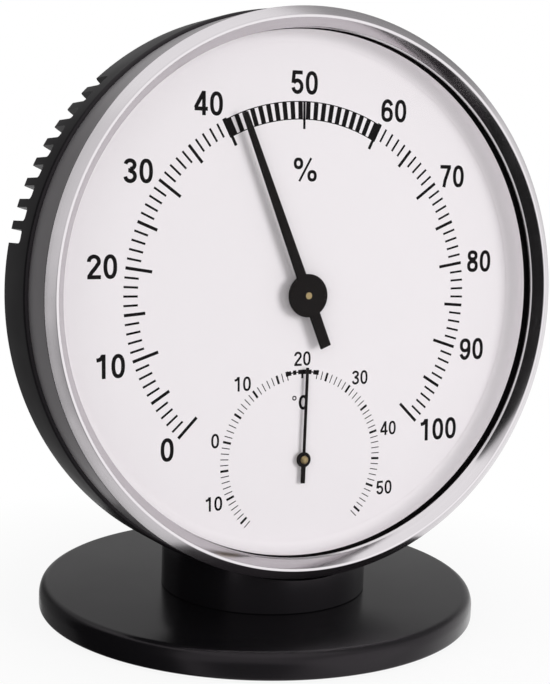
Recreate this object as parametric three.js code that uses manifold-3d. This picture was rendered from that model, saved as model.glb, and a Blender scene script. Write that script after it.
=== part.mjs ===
// Table hygrometer with a small thermometer: a round leaning head on a disc foot.
// Millimetres, +Z up, the dial faces -Y, origin at the centre of the foot's underside.

import * as THREE from 'three';
import { mergeVertices } from 'three/addons/utils/BufferGeometryUtils.js';
import Module from 'manifold-3d';

// Fits shared by all pieces
const seatGap = 0.3;
const runningGap = 0.3;
const pressGap = 0.1;

// How the head stands on the foot
const headLean = THREE.MathUtils.degToRad(3.5);
const headForward = 28.5;
const pillarForward = 3.5;
const pillarNeck = 6.4;

// Foot
const footRadius = 53.8;
const footThickness = 6.0;
const footChamferWidth = 1.7;
const footChamferDrop = 2.3;
const footWeb = 3.0;
const padProud = 0.6;
const padThickness = 1.3;
const padWidth = 6.5;
const padEdge = 2.5;
const ballastRim = 3.0;
const pillarRadius = 25.1;
const pillarEdge = 0.6;
const spigotRadius = 5.5;
const spigotLength = 2.0;
const spigotBehindScrew = 9.0;

// Screw that holds the head down on the foot
const screwRadius = 2.4;
const screwHeadRadius = 4.2;
const screwHeadHeight = 2.0;
const screwGrip = 6.0;
const screwBossWall = 2.6;

// Bezel ring, from the visible dial outward
const sightRadius = 60.3;
const innerSlopeWidth = 2.0;
const innerSlopeDepth = 3.1;
const rimWidth = 0.6;
const outerChamferWidth = 2.1;
const outerChamferDepth = 1.6;
const bezelWall = 1.1;
const lensLand = 0.3;

// Lens, dial and the room for the pointers
const lensThickness = 1.5;
const dialThickness = 0.8;
const pointerRoom = 1.3;

// Case moulding
const neckLap = 2.1;
const caseStep = 0.8;
const caseWall = 2.2;
const caseCorner = 1.0;
const movementRoom = 3.9;

// Cover over the service opening in the back
const coverClear = 4.3;
const coverDepth = 6.0;
const coverLap = 4.0;

// Vent slots round the rear corner of the case, one group on each side
const slotCount = 9;
const slotWidth = 3.1;
const slotTooth = 1.9;
const slotGroupMiddle = THREE.MathUtils.degToRad(60.6);
const slotLength = 8.6;
const slotInward = 6.8;
const slotCorner = 1.0;

// Hygrometer pointer and its axis at the centre of the dial
const hygroRestAngle = THREE.MathUtils.degToRad(-21.6);
const hygroTipMargin = 15.9;
const hygroHubRadius = 5.0;
const hygroRootWidth = 2.5;
const hygroTipWidth = 1.4;
const hygroTailLength = 13.0;
const hygroTailWidth = 2.7;
const hygroThickness = 0.6;
const hygroArborRadius = 0.8;
const colletRadius = 2.4;
const colletLength = 1.9;
const hygroBushWall = 1.2;

// Thermometer pointer and its axis low on the dial
const thermoEdge = 21.8;
const thermoRestAngle = THREE.MathUtils.degToRad(2.25);
const thermoLength = 21.6;
const thermoTailLength = 5.6;
const thermoTipWidth = 0.7;
const thermoTailWidth = 1.1;
const thermoEyeRadius = 1.8;
const thermoThickness = 0.3;
const thermoHubRadius = 1.0;
const thermoHubHeight = 0.6;
const thermoHubBevel = 0.4;
const thermoArborRadius = 0.5;
const thermoBushProud = 0.6;
const thermoBushWall = 0.45;

// Movement plates and posts behind the dial
const plateClear = 9.4;
const plateThickness = 1.2;
const plateMargin = 4.0;
const dialPostCount = 3;
const dialPostLength = 3.3;
const dialPostRadius = 2.0;
const bridgeRoom = 4.5;
const bridgeThickness = 1.2;
const bridgeWidth = 9.0;
const bridgePostRadius = 1.6;
const bridgePostMargin = 0.6;
const arborProud = 0.6;

// Hair drive: lever, thread, drum, hair bundle and its adjuster
const leverBearing = THREE.MathUtils.degToRad(163.5);
const leverClear = 4.6;
const leverThickness = 1.0;
const leverPinRadius = 1.0;
const leverEyeWall = 1.6;
const quadrantRadius = 22.0;
const quadrantRim = 3.0;
const quadrantSpread = THREE.MathUtils.degToRad(40);
const quadrantSpoke = 2.0;
const tailLength = 5.5;
const tailWidth = 2.4;
const drumRadius = 1.6;
const drumLength = 1.6;
const threadRadius = 0.15;
const hairRadius = 0.5;
const hairLap = 1.2;
const adjustEdge = 8.7;
const adjustArmLength = 8.5;
const adjustArmWidth = 4.4;
const adjustShankRadius = 1.2;
const adjustHeadRadius = 3.0;
const adjustHeadHeight = 1.2;
const adjustSlotWidth = 0.8;
const adjustSlotDepth = 0.6;

// Spiral springs
const hairSpringInner = 2.2;
const hairSpringPitch = 1.1;
const hairSpringTurns = 5.25;
const hairSpringStrip = 0.25;
const hairSpringHeight = 0.9;
const bimetalInner = 2.2;
const bimetalPitch = 1.5;
const bimetalTurns = 3.5;
const bimetalStrip = 0.5;
const bimetalHeight = 3.0;
const studRadius = 0.9;

// Facets of a full turn
const wideFacets = 80;
const plainFacets = 56;
const hubFacets = 32;
const smallFacets = 16;
const threadFacets = 8;

// Radii of the head, from the visible dial outward
const rimInner = sightRadius + innerSlopeWidth;
const rimOuter = rimInner + rimWidth;
const bezelRadius = rimOuter + outerChamferWidth;
const bezelBore = bezelRadius - bezelWall;
const insertRadius = bezelBore - seatGap;
const neckInside = insertRadius - caseWall;
const caseRadius = bezelRadius + caseStep;
const caseInside = caseRadius - caseWall;
const saddleRadius = caseRadius + seatGap;

// Stack of the head along its own axis, measured back from the front of the rim
const lensShoulder = innerSlopeDepth + lensLand;
const lensFront = lensShoulder + seatGap;
const lensBack = lensFront + lensThickness;
const hygroFront = lensBack + pointerRoom;
const colletFront = hygroFront + hygroThickness + pressGap;
const dialFront = colletFront + colletLength + runningGap;
const dialBack = dialFront + dialThickness;
const plateFront = dialBack + dialPostLength + 2 * seatGap;
const plateBack = plateFront + plateThickness;
const bridgeFront = plateBack + bridgeRoom + 2 * seatGap;
const bridgeBack = bridgeFront + bridgeThickness;
const caseFront = dialBack + seatGap;
const caseShoulder = caseFront + neckLap;
const bezelDepth = caseShoulder - seatGap;
const caseInsideBack = bridgeBack + movementRoom;
const caseBack = caseInsideBack + caseWall;

// Layers of the movement
const leverFront = plateBack + seatGap;
const leverBack = leverFront + leverThickness;
const springFront = plateBack + 2 * seatGap;
const hairSpringBack = bridgeFront - 2 * seatGap;
const hairSpringFront = hairSpringBack - hairSpringHeight;
const arborBack = bridgeBack + arborProud;

// Places on the dial and the plate
const thermoDrop = sightRadius - thermoEdge;
const plateRadius = neckInside - plateClear;
const dialPostCircle = plateRadius - plateMargin - dialPostRadius;
const leverDistance = quadrantRadius + drumRadius + leverClear;
const leverPivotX = leverDistance * Math.cos(leverBearing);
const leverPivotZ = leverDistance * Math.sin(leverBearing);
const hairX = leverPivotX - tailLength;
const adjustCircle = plateRadius - adjustEdge;
const adjustX = hairX + adjustArmLength;
const adjustZ = -Math.sqrt(adjustCircle ** 2 - adjustX ** 2);
const coverRadius = adjustCircle - adjustHeadRadius - coverClear;

// Heights of the foot and the place of the head
const footTop = padProud + footThickness;
const axisOverPillar = footTop + pillarNeck + saddleRadius / Math.cos(headLean);
const headHeight = axisOverPillar + (headForward - pillarForward) * Math.tan(headLean);

const wasm = await Module();
wasm.setup();

// Keeps positions only, welds the seams, drops empty triangles and turns the faces outward
function closed(geometry) {
  const bare = geometry.clone();
  bare.deleteAttribute('normal');
  bare.deleteAttribute('uv');
  const welded = mergeVertices(bare, 1e-5);
  const index = welded.index.array;
  const corner = (i) => new THREE.Vector3().fromBufferAttribute(welded.attributes.position, index[i]);
  const kept = [];
  let volume = 0;
  for (let i = 0; i < index.length; i += 3) {
    if (index[i] === index[i + 1] || index[i + 1] === index[i + 2] || index[i] === index[i + 2]) continue;
    volume += corner(i).dot(corner(i + 1).cross(corner(i + 2)));
    kept.push(index[i], index[i + 1], index[i + 2]);
  }
  if (volume < 0) kept.reverse();
  welded.setIndex(kept);
  return welded;
}

function toManifold(geometry) {
  const body = closed(geometry);
  const vertProperties = Float32Array.from(body.attributes.position.array);
  const triVerts = Uint32Array.from(body.index.array);
  return new wasm.Manifold(new wasm.Mesh({ numProp: 3, vertProperties, triVerts }));
}

function fromManifold(manifold) {
  const mesh = manifold.getMesh();
  const geometry = new THREE.BufferGeometry();
  geometry.setAttribute('position', new THREE.BufferAttribute(Float32Array.from(mesh.vertProperties), 3));
  geometry.setIndex(Array.from(mesh.triVerts));
  return geometry;
}

function cut(body, tools) {
  let manifold = toManifold(body);
  for (const tool of tools) manifold = manifold.subtract(toManifold(tool));
  return fromManifold(manifold);
}

function join(bodies) {
  let manifold = toManifold(bodies[0]);
  for (const other of bodies.slice(1)) manifold = manifold.add(toManifold(other));
  return fromManifold(manifold);
}

function common(first, second) {
  return fromManifold(toManifold(first).intersect(toManifold(second)));
}

// Revolves [radius, depth] points about the Y axis; a profile off the axis is closed on itself
function revolve(profile, facets) {
  const points = profile.map(([radius, depth]) => new THREE.Vector2(radius, depth));
  if (points[0].x > 0) points.push(points[0].clone());
  return closed(new THREE.LatheGeometry(points, facets));
}

// A disc, tube or rod about the Y axis between two depths
function turned(radius, front, back, facets, bore = 0) {
  return revolve([[bore, front], [radius, front], [radius, back], [bore, back]], facets);
}

// The same solid stood upright, with its depths as heights
function stood(geometry) {
  return closed(geometry.rotateX(Math.PI / 2));
}

// A flat plate: an outline in x and z of the head, from one depth over a thickness
function slab(outline, front, thickness, facets = smallFacets) {
  const geometry = new THREE.ExtrudeGeometry(outline, {
    depth: thickness, bevelEnabled: false, curveSegments: facets / 2,
  });
  return closed(geometry.rotateX(Math.PI / 2).translate(0, front + thickness, 0));
}

function circlePoints(x, z, radius, facets) {
  const points = [];
  for (let i = 0; i < facets; i += 1) {
    const angle = (2 * Math.PI * i) / facets;
    points.push(new THREE.Vector2(x + radius * Math.cos(angle), z + radius * Math.sin(angle)));
  }
  return points;
}

function disc(radius, facets) {
  return new THREE.Shape(circlePoints(0, 0, radius, facets));
}

function addHole(outline, x, z, radius) {
  outline.holes.push(new THREE.Path(circlePoints(x, z, radius, smallFacets)));
}

// A bar with round ends between two points
function roundBar(x0, z0, x1, z1, width) {
  const along = Math.atan2(z1 - z0, x1 - x0);
  const quarter = Math.PI / 2;
  const shape = new THREE.Shape();
  shape.absarc(x1, z1, width / 2, along - quarter, along + quarter, false);
  shape.absarc(x0, z0, width / 2, along + quarter, along + 3 * quarter, false);
  return shape;
}

// A pointer: an eye round the axis, a needle up to its tip and a square tail down
function pointerOutline(eyeRadius, rootWidth, tipWidth, length, tailEnd, tailBroad) {
  const rootTurn = Math.asin(rootWidth / 2 / eyeRadius);
  const tailTurn = Math.asin(tailBroad / 2 / eyeRadius);
  const shape = new THREE.Shape();
  shape.moveTo(tipWidth / 2, length);
  shape.lineTo(-tipWidth / 2, length);
  shape.absarc(0, 0, eyeRadius, Math.PI / 2 + rootTurn, 1.5 * Math.PI - tailTurn, false);
  shape.lineTo(-tailBroad / 2, -tailEnd);
  shape.lineTo(tailBroad / 2, -tailEnd);
  shape.absarc(0, 0, eyeRadius, 1.5 * Math.PI + tailTurn, 2.5 * Math.PI - rootTurn, false);
  return shape;
}

// A flat strip wound in a spiral about the origin
function spiral(innerRadius, pitch, turns, strip) {
  const steps = Math.round(turns * smallFacets);
  const inner = [];
  const outer = [];
  for (let i = 0; i <= steps; i += 1) {
    const angle = (i / smallFacets) * 2 * Math.PI;
    const radius = innerRadius + pitch * (i / smallFacets);
    const way = new THREE.Vector2(Math.cos(angle), Math.sin(angle));
    inner.push(way.clone().multiplyScalar(radius));
    outer.push(way.clone().multiplyScalar(radius + strip));
  }
  return new THREE.Shape([...outer, ...inner.reverse()]);
}

function spiralOuter(innerRadius, pitch, turns, strip) {
  return innerRadius + pitch * turns + strip;
}

// Where a stud stands just outside the outer end of such a spiral
function studPlace(outerRadius, turns) {
  const radius = outerRadius + seatGap + studRadius;
  const angle = turns * 2 * Math.PI;
  return [radius * Math.cos(angle), radius * Math.sin(angle)];
}

const hygrometer = new THREE.Group();
const head = new THREE.Group();
head.position.set(0, -headForward, headHeight);
head.rotation.x = -headLean;
head.updateMatrix();
hygrometer.add(head);
const worldToHead = head.matrix.clone().invert();

function piece(parent, name, geometry, colour, roughness, metalness = 0) {
  const material = new THREE.MeshStandardMaterial({ color: colour, roughness, metalness });
  const mesh = new THREE.Mesh(geometry, material);
  mesh.name = name;
  parent.add(mesh);
}

const blackPlastic = '#232224';
const rubberBlack = '#1b1b1c';
const steelGrey = '#8d9095';
const satinSteel = '#a8a8aa';
const blueSteel = '#6d7482';
const brassYellow = '#b08a4a';
const bimetalBrown = '#9a7f55';
const clearGlass = '#f4f6f8';
const dialSilver = '#e6e4e8';
const pointerBlack = '#151516';
const hairPale = '#e8e2d4';

// Foot: a chamfered disc, hollow below for its weight and grooved for the pad
const padOuter = footRadius - padEdge;
const padInner = padOuter - padWidth;
const hollowRadius = padInner - seatGap - ballastRim;
const hollowTop = footTop - footWeb;
const footBody = stood(revolve([
  [0, hollowTop], [hollowRadius, hollowTop], [hollowRadius, padProud],
  [padInner - seatGap, padProud], [padInner - seatGap, padThickness],
  [padOuter + seatGap, padThickness], [padOuter + seatGap, padProud],
  [footRadius, padProud], [footRadius, footTop - footChamferDrop],
  [footRadius - footChamferWidth * 0.3, footTop - footChamferDrop * 0.35],
  [footRadius - footChamferWidth, footTop], [0, footTop],
], wideFacets));

// The screw stands under the middle of the case and goes straight up through foot and pillar
const screwDepth = (caseShoulder + caseWall + caseInsideBack) / 2;
const underCase = new THREE.Vector3(0, screwDepth, -caseRadius).applyMatrix4(head.matrix);
const screwTop = underCase.z + screwGrip;
const spigotY = underCase.y + spigotBehindScrew;
const screwHole = (top) => stood(turned(screwRadius + seatGap, 0, top, smallFacets))
  .translate(0, underCase.y, 0);
const spigotHole = stood(turned(spigotRadius + pressGap, footTop - spigotLength - pressGap,
  footTop + footWeb, smallFacets)).translate(0, spigotY, 0);
piece(hygrometer, 'foot_disc', cut(footBody, [spigotHole, screwHole(headHeight)]), blackPlastic, 0.45);
piece(hygrometer, 'foot_pad', stood(turned(padOuter, 0, padThickness, plainFacets, padInner)),
  rubberBlack, 0.9);

// Weight plate up in the hollow, cleared round the head of the screw
const ballastBody = stood(turned(hollowRadius - seatGap, padProud, hollowTop - pressGap, plainFacets));
const headClear = stood(turned(screwHeadRadius + seatGap, 0, footTop, smallFacets))
  .translate(0, underCase.y, 0);
piece(hygrometer, 'foot_ballast', cut(ballastBody, [headClear]), steelGrey, 0.5, 1);

// Pillar: a short drum saddled to carry the round case, with a spigot into the foot
const saddleReach = headForward + footRadius + pillarRadius;
const saddle = turned(saddleRadius, -saddleReach, saddleReach, wideFacets).applyMatrix4(head.matrix);
const drum = stood(revolve([
  [0, footTop], [pillarRadius - pillarEdge, footTop], [pillarRadius, footTop + pillarEdge],
  [pillarRadius, headHeight], [0, headHeight],
], plainFacets)).translate(0, -pillarForward, 0);
const spigot = stood(turned(spigotRadius, footTop - spigotLength, footTop + footWeb, smallFacets))
  .translate(0, spigotY, 0);
const pillar = cut(join([drum, spigot]), [saddle, screwHole(headHeight)]);
piece(hygrometer, 'foot_pillar', pillar, blackPlastic, 0.45);

const screwHeadTop = hollowTop - pressGap;
const screw = stood(revolve([
  [0, screwHeadTop - screwHeadHeight], [screwHeadRadius, screwHeadTop - screwHeadHeight],
  [screwHeadRadius, screwHeadTop], [screwRadius, screwHeadTop], [screwRadius, screwTop], [0, screwTop],
], smallFacets));
piece(hygrometer, 'stand_screw', screw.translate(0, underCase.y, 0), steelGrey, 0.4, 1);

// Case: a deep moulded cup with a neck that fits into the bezel
const caseCup = revolve([
  [neckInside, caseFront], [insertRadius, caseFront], [insertRadius, caseShoulder],
  [caseRadius, caseShoulder], [caseRadius, caseBack - caseCorner],
  [caseRadius - caseCorner * 0.3, caseBack - caseCorner * 0.3], [caseRadius - caseCorner, caseBack],
  [coverRadius - coverLap, caseBack], [coverRadius - coverLap, caseInsideBack],
  [caseInside, caseInsideBack], [caseInside, caseShoulder + caseWall],
  [neckInside, caseShoulder + caseWall],
], wideFacets);

// One vent slot at the top of the case: open to the back, round in its front corners
const slotFront = caseBack - slotLength;
const slotHalf = slotWidth / 2;
const slotShape = new THREE.Shape();
slotShape.moveTo(slotHalf, caseBack + caseWall);
slotShape.lineTo(-slotHalf, caseBack + caseWall);
slotShape.absarc(-slotHalf + slotCorner, slotFront + slotCorner, slotCorner, Math.PI, 1.5 * Math.PI, false);
slotShape.absarc(slotHalf - slotCorner, slotFront + slotCorner, slotCorner, 1.5 * Math.PI, 2 * Math.PI, false);
const slotBlade = closed(new THREE.ExtrudeGeometry(slotShape, {
  depth: slotInward + caseWall, bevelEnabled: false, curveSegments: 1,
}).translate(0, 0, caseRadius - slotInward));

// The slots in a fan on each side of the case
const slotStep = (slotWidth + slotTooth) / caseRadius;
const slotTools = [];
for (const side of [-1, 1]) {
  for (let i = 0; i < slotCount; i += 1) {
    const turn = side * (slotGroupMiddle + (i - (slotCount - 1) / 2) * slotStep);
    slotTools.push(slotBlade.clone().rotateY(turn));
  }
}

// Boss inside the bottom of the case for the stand screw
const bossTop = screwTop + seatGap + screwBossWall;
const bossRod = stood(turned(screwRadius + seatGap + screwBossWall, footTop, bossTop, smallFacets))
  .translate(0, underCase.y, 0).applyMatrix4(worldToHead);
const bossRoom = turned(caseInside + caseWall / 2, caseShoulder + caseWall / 2,
  caseInsideBack + caseWall / 2, wideFacets);
const boss = common(bossRod, bossRoom);
const screwBore = screwHole(screwTop + seatGap).applyMatrix4(worldToHead);

// Hole in the back for the adjuster
const adjustHole = turned(adjustHeadRadius + runningGap, bridgeBack, caseBack + caseWall, smallFacets)
  .translate(adjustX, 0, adjustZ);
const caseShell = cut(join([caseCup, boss]), [...slotTools, screwBore, adjustHole]);
piece(head, 'case_shell', caseShell, blackPlastic, 0.45);

// Plain round cover over the service opening
const coverFront = caseBack + seatGap;
const coverBack = coverFront + coverDepth;
piece(head, 'rear_cover', revolve([
  [0, coverBack - caseWall], [coverRadius - caseWall, coverBack - caseWall],
  [coverRadius - caseWall, coverFront], [coverRadius, coverFront],
  [coverRadius, coverBack - caseCorner], [coverRadius - caseCorner, coverBack], [0, coverBack],
], plainFacets), blackPlastic, 0.5);

// Bezel: chamfer outside, narrow bright rim, polished slope down to the lens
piece(head, 'bezel_ring', revolve([
  [rimInner, 0], [rimOuter, 0], [bezelRadius, outerChamferDepth], [bezelRadius, bezelDepth],
  [bezelBore, bezelDepth], [bezelBore, lensShoulder], [sightRadius, lensShoulder],
  [sightRadius, innerSlopeDepth],
], wideFacets), satinSteel, 0.25, 1);

piece(head, 'lens', turned(insertRadius, lensFront, lensBack, wideFacets), clearGlass, 0.05);
piece(head, 'spacer_ring',
  turned(insertRadius, lensBack + seatGap, dialFront - seatGap, wideFacets, sightRadius), dialSilver, 0.4);

// Dial plate with holes for the two axes
const thermoBushRadius = thermoArborRadius + runningGap + thermoBushWall;
const hygroBushRadius = hygroArborRadius + runningGap + hygroBushWall;
const dialOutline = disc(insertRadius, wideFacets);
addHole(dialOutline, 0, 0, hygroArborRadius + 2 * runningGap);
addHole(dialOutline, 0, -thermoDrop, thermoBushRadius + pressGap);
piece(head, 'dial_plate', slab(dialOutline, dialFront, dialThickness), dialSilver, 0.35);

// Movement plate on posts behind the dial
const plateOutline = disc(plateRadius, plainFacets);
addHole(plateOutline, 0, 0, hygroBushRadius + pressGap);
addHole(plateOutline, 0, -thermoDrop, thermoBushRadius + pressGap);
addHole(plateOutline, adjustX, adjustZ, adjustShankRadius + runningGap);
piece(head, 'movement_plate', slab(plateOutline, plateFront, plateThickness), brassYellow, 0.4, 1);
for (let i = 0; i < dialPostCount; i += 1) {
  const around = (2 * Math.PI * (i + 0.5)) / dialPostCount;
  const post = turned(dialPostRadius, dialBack + seatGap, plateFront - seatGap, smallFacets);
  post.translate(dialPostCircle * Math.sin(around), 0, dialPostCircle * Math.cos(around));
  piece(head, `dial_post_${i + 1}`, post, brassYellow, 0.4, 1);
}

// Bridge over both axes at the back of the movement, on its own posts
const hairSpringOuter = spiralOuter(hairSpringInner, hairSpringPitch, hairSpringTurns, hairSpringStrip);
const bimetalOuter = spiralOuter(bimetalInner, bimetalPitch, bimetalTurns, bimetalStrip);
const postReach = bridgePostMargin + bridgePostRadius;
const bridgeTop = hairSpringOuter + seatGap + 2 * studRadius + postReach;
const bridgeBottom = -thermoDrop - bimetalOuter - postReach;
const bridgeMiddle = (-hairSpringOuter - thermoDrop + bimetalOuter) / 2;
const bridgeOutline = roundBar(0, bridgeTop, 0, bridgeBottom, bridgeWidth);
addHole(bridgeOutline, 0, 0, hygroArborRadius + runningGap);
addHole(bridgeOutline, 0, -thermoDrop, thermoArborRadius + runningGap);
piece(head, 'movement_bridge', slab(bridgeOutline, bridgeFront, bridgeThickness), brassYellow, 0.4, 1);
[bridgeTop, bridgeMiddle, bridgeBottom].forEach((height, i) => {
  const post = turned(bridgePostRadius, plateBack + seatGap, bridgeFront - seatGap, smallFacets);
  piece(head, `bridge_post_${i + 1}`, post.translate(0, 0, height), brassYellow, 0.4, 1);
});

// Bushes that guide the two arbors through plate and dial
piece(head, 'hygro_bush', turned(hygroBushRadius, dialBack + seatGap, plateBack, smallFacets,
  hygroArborRadius + runningGap), brassYellow, 0.35, 1);
const thermoBush = turned(thermoBushRadius, dialFront - thermoBushProud, plateBack, smallFacets,
  thermoArborRadius + runningGap);
piece(head, 'thermo_bush', thermoBush.translate(0, 0, -thermoDrop), brassYellow, 0.35, 1);

// Hygrometer axis: arbor, pointer, collets and drum turn together
const hygro = new THREE.Group();
hygro.rotation.y = hygroRestAngle;
head.add(hygro);
const hygroSleeve = hygroArborRadius + pressGap;
piece(hygro, 'hygro_arbor', turned(hygroArborRadius, hygroFront - pressGap, arborBack, smallFacets),
  brassYellow, 0.3, 1);
piece(hygro, 'hygro_collet', turned(colletRadius, colletFront, colletFront + colletLength, smallFacets,
  hygroSleeve), brassYellow, 0.35, 1);
piece(hygro, 'hygro_drum', turned(drumRadius, leverFront, leverFront + drumLength, smallFacets, hygroSleeve),
  brassYellow, 0.35, 1);
piece(hygro, 'hair_spring_collet', turned(hairSpringInner - seatGap, hairSpringFront, hairSpringBack,
  smallFacets, hygroSleeve), brassYellow, 0.35, 1);
const hygroShape = pointerOutline(hygroHubRadius, hygroRootWidth, hygroTipWidth,
  sightRadius - hygroTipMargin, hygroTailLength, hygroTailWidth);
addHole(hygroShape, 0, 0, hygroSleeve);
piece(hygro, 'hygro_pointer', slab(hygroShape, hygroFront, hygroThickness, hubFacets / 2), pointerBlack, 0.45);

// Thermometer axis: arbor, pointer, brass hub and the collet of the bimetal turn together
const thermoBack = dialFront - thermoBushProud - runningGap;
const thermoFront = thermoBack - thermoThickness;
const thermo = new THREE.Group();
thermo.position.z = -thermoDrop;
thermo.rotation.y = thermoRestAngle;
head.add(thermo);
const thermoSleeve = thermoArborRadius + pressGap;
piece(thermo, 'thermo_arbor', turned(thermoArborRadius, thermoFront, arborBack, smallFacets),
  brassYellow, 0.3, 1);
piece(thermo, 'bimetal_collet', turned(bimetalInner - seatGap, springFront, springFront + bimetalHeight,
  smallFacets, thermoSleeve), brassYellow, 0.35, 1);
const thermoShape = pointerOutline(thermoEyeRadius, thermoTipWidth, thermoTipWidth, thermoLength,
  thermoTailLength, thermoTailWidth);
addHole(thermoShape, 0, 0, thermoSleeve);
piece(thermo, 'thermo_pointer', slab(thermoShape, thermoFront, thermoThickness), pointerBlack, 0.45);
const hubBack = thermoFront - pressGap;
const hubFront = hubBack - thermoHubHeight;
piece(thermo, 'thermo_hub', revolve([
  [0, hubFront], [thermoHubRadius - thermoHubBevel, hubFront],
  [thermoHubRadius, hubFront + thermoHubHeight / 2], [thermoHubRadius, hubBack], [0, hubBack],
], smallFacets), brassYellow, 0.3, 1);

// Bimetal spiral round the thermometer axis, held at its outer end by a stud on the plate
const bimetalOutline = spiral(bimetalInner, bimetalPitch, bimetalTurns, bimetalStrip);
const bimetal = slab(bimetalOutline, springFront, bimetalHeight).translate(0, 0, -thermoDrop);
piece(head, 'bimetal_spiral', bimetal, bimetalBrown, 0.4, 1);
const [bimetalStudX, bimetalStudZ] = studPlace(bimetalOuter, bimetalTurns);
const bimetalStud = turned(studRadius, plateBack + seatGap, springFront + bimetalHeight, smallFacets);
piece(head, 'bimetal_stud', bimetalStud.translate(bimetalStudX, 0, bimetalStudZ - thermoDrop),
  brassYellow, 0.4, 1);

// Hairspring that takes up the slack of the hygrometer, with its stud on the bridge
const hairSpringOutline = spiral(hairSpringInner, hairSpringPitch, hairSpringTurns, hairSpringStrip);
piece(head, 'hair_spring', slab(hairSpringOutline, hairSpringFront, hairSpringHeight), blueSteel, 0.35, 1);
const [springStudX, springStudZ] = studPlace(hairSpringOuter, hairSpringTurns);
const springStud = turned(studRadius, hairSpringFront, bridgeFront - seatGap, smallFacets);
piece(head, 'hair_spring_stud', springStud.translate(springStudX, 0, springStudZ), brassYellow, 0.4, 1);

// Lever with a quadrant: the thread runs off its rim to the drum, the hair pulls its tail
const towardDrum = Math.atan2(-leverPivotZ, -leverPivotX);
const tangent = towardDrum + Math.acos((quadrantRadius - drumRadius) / leverDistance);
const quadrantShape = new THREE.Shape();
const quadrantLow = tangent - quadrantSpread / 2;
const quadrantHigh = tangent + quadrantSpread / 2;
quadrantShape.absarc(0, 0, quadrantRadius, quadrantLow, quadrantHigh, false);
quadrantShape.absarc(0, 0, quadrantRadius - quadrantRim, quadrantHigh, quadrantLow, true);
const spokeReach = quadrantRadius - quadrantRim / 2;
const spoke = roundBar(0, 0, spokeReach * Math.cos(tangent), spokeReach * Math.sin(tangent), quadrantSpoke);
const leverTail = roundBar(0, 0, -tailLength, 0, tailWidth);
const leverEye = disc(leverPinRadius + runningGap + leverEyeWall, smallFacets);
const leverPlates = [quadrantShape, spoke, leverTail, leverEye];
const leverBody = join(leverPlates.map((outline) => slab(outline, leverFront, leverThickness)));
const pinHole = turned(leverPinRadius + runningGap, plateFront, bridgeBack, smallFacets);
const lever = cut(leverBody, [pinHole]).translate(leverPivotX, 0, leverPivotZ);
piece(head, 'hair_lever', lever, brassYellow, 0.4, 1);
const pin = turned(leverPinRadius, plateBack + pressGap, leverBack + seatGap, smallFacets);
piece(head, 'lever_pin', pin.translate(leverPivotX, 0, leverPivotZ), steelGrey, 0.4, 1);

// Thread along the common tangent of quadrant and drum
const threadOffset = drumRadius + seatGap + threadRadius;
const threadRun = leverDistance * Math.sin(tangent - towardDrum);
const thread = stood(turned(threadRadius, 0, threadRun, threadFacets)).rotateY(-tangent);
thread.translate(threadOffset * Math.cos(tangent), leverFront + leverThickness / 2,
  threadOffset * Math.sin(tangent));
piece(head, 'pull_thread', thread, hairPale, 0.8);

// Hair bundle from the lever's tail down to the adjuster's arm
const hair = stood(turned(hairRadius, adjustZ - hairLap, leverPivotZ + hairLap, threadFacets));
piece(head, 'hair_bundle', hair.translate(hairX, leverBack + seatGap + hairRadius, 0), hairPale, 0.7);

// Adjuster: a slotted screw in the back of the case that swings the arm of the hair
const adjustHeadBack = caseBack - seatGap;
const adjustHeadFront = adjustHeadBack - adjustHeadHeight;
const adjustBody = revolve([
  [0, plateFront], [adjustShankRadius, plateFront], [adjustShankRadius, adjustHeadFront],
  [adjustHeadRadius, adjustHeadFront], [adjustHeadRadius, adjustHeadBack], [0, adjustHeadBack],
], smallFacets);
const adjustSlot = new THREE.BoxGeometry(3 * adjustHeadRadius, 2 * adjustSlotDepth, adjustSlotWidth)
  .translate(0, adjustHeadBack, 0);
piece(head, 'adjust_screw', cut(adjustBody, [adjustSlot]).translate(adjustX, 0, adjustZ), steelGrey, 0.4, 1);
const armOutline = roundBar(0, 0, -adjustArmLength, 0, adjustArmWidth);
addHole(armOutline, 0, 0, adjustShankRadius + pressGap);
const arm = slab(armOutline, leverFront, leverThickness).translate(adjustX, 0, adjustZ);
piece(head, 'adjust_arm', arm, brassYellow, 0.4, 1);

export default hygrometer;
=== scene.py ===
"""Looks of a round table hygrometer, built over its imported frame. Metres, +Z up, the dial faces -Y."""

import math

import bmesh
import bpy
from bpy.props import FloatProperty, FloatVectorProperty, IntProperty, PointerProperty
from mathutils import Matrix, Vector


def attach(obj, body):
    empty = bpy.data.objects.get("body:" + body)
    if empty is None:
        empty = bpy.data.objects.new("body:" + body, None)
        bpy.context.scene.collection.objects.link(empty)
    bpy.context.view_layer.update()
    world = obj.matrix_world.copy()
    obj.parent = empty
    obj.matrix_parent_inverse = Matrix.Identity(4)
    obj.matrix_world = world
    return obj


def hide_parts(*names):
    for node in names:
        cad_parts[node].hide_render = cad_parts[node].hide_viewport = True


bl_info = {
    "name": "Table hygrometer",
    "version": (1, 0, 0),
    "blender": (4, 5, 0),
    "location": "3D View > Sidebar > Hygrometer",
    "description": "Adds the finished pieces, the materials and the stage of a table hygrometer",
    "category": "Object",
}

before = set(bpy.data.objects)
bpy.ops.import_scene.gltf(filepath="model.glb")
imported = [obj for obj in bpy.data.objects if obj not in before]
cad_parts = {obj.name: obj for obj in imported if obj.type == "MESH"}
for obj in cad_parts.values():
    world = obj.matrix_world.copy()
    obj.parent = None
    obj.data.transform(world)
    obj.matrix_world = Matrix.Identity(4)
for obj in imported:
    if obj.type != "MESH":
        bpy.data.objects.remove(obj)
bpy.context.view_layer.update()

MM = 0.001

# Points round large and small turned pieces, round a pointer's hub, up the rivet's dome, in a slot's
# corner and round the degree ring
FINE_TURN = 256
SMALL_TURN = 64
HUB_STEPS = 24
DOME_STEPS = 10
CORNER_STEPS = 6
DEGREE_STEPS = 24

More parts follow.
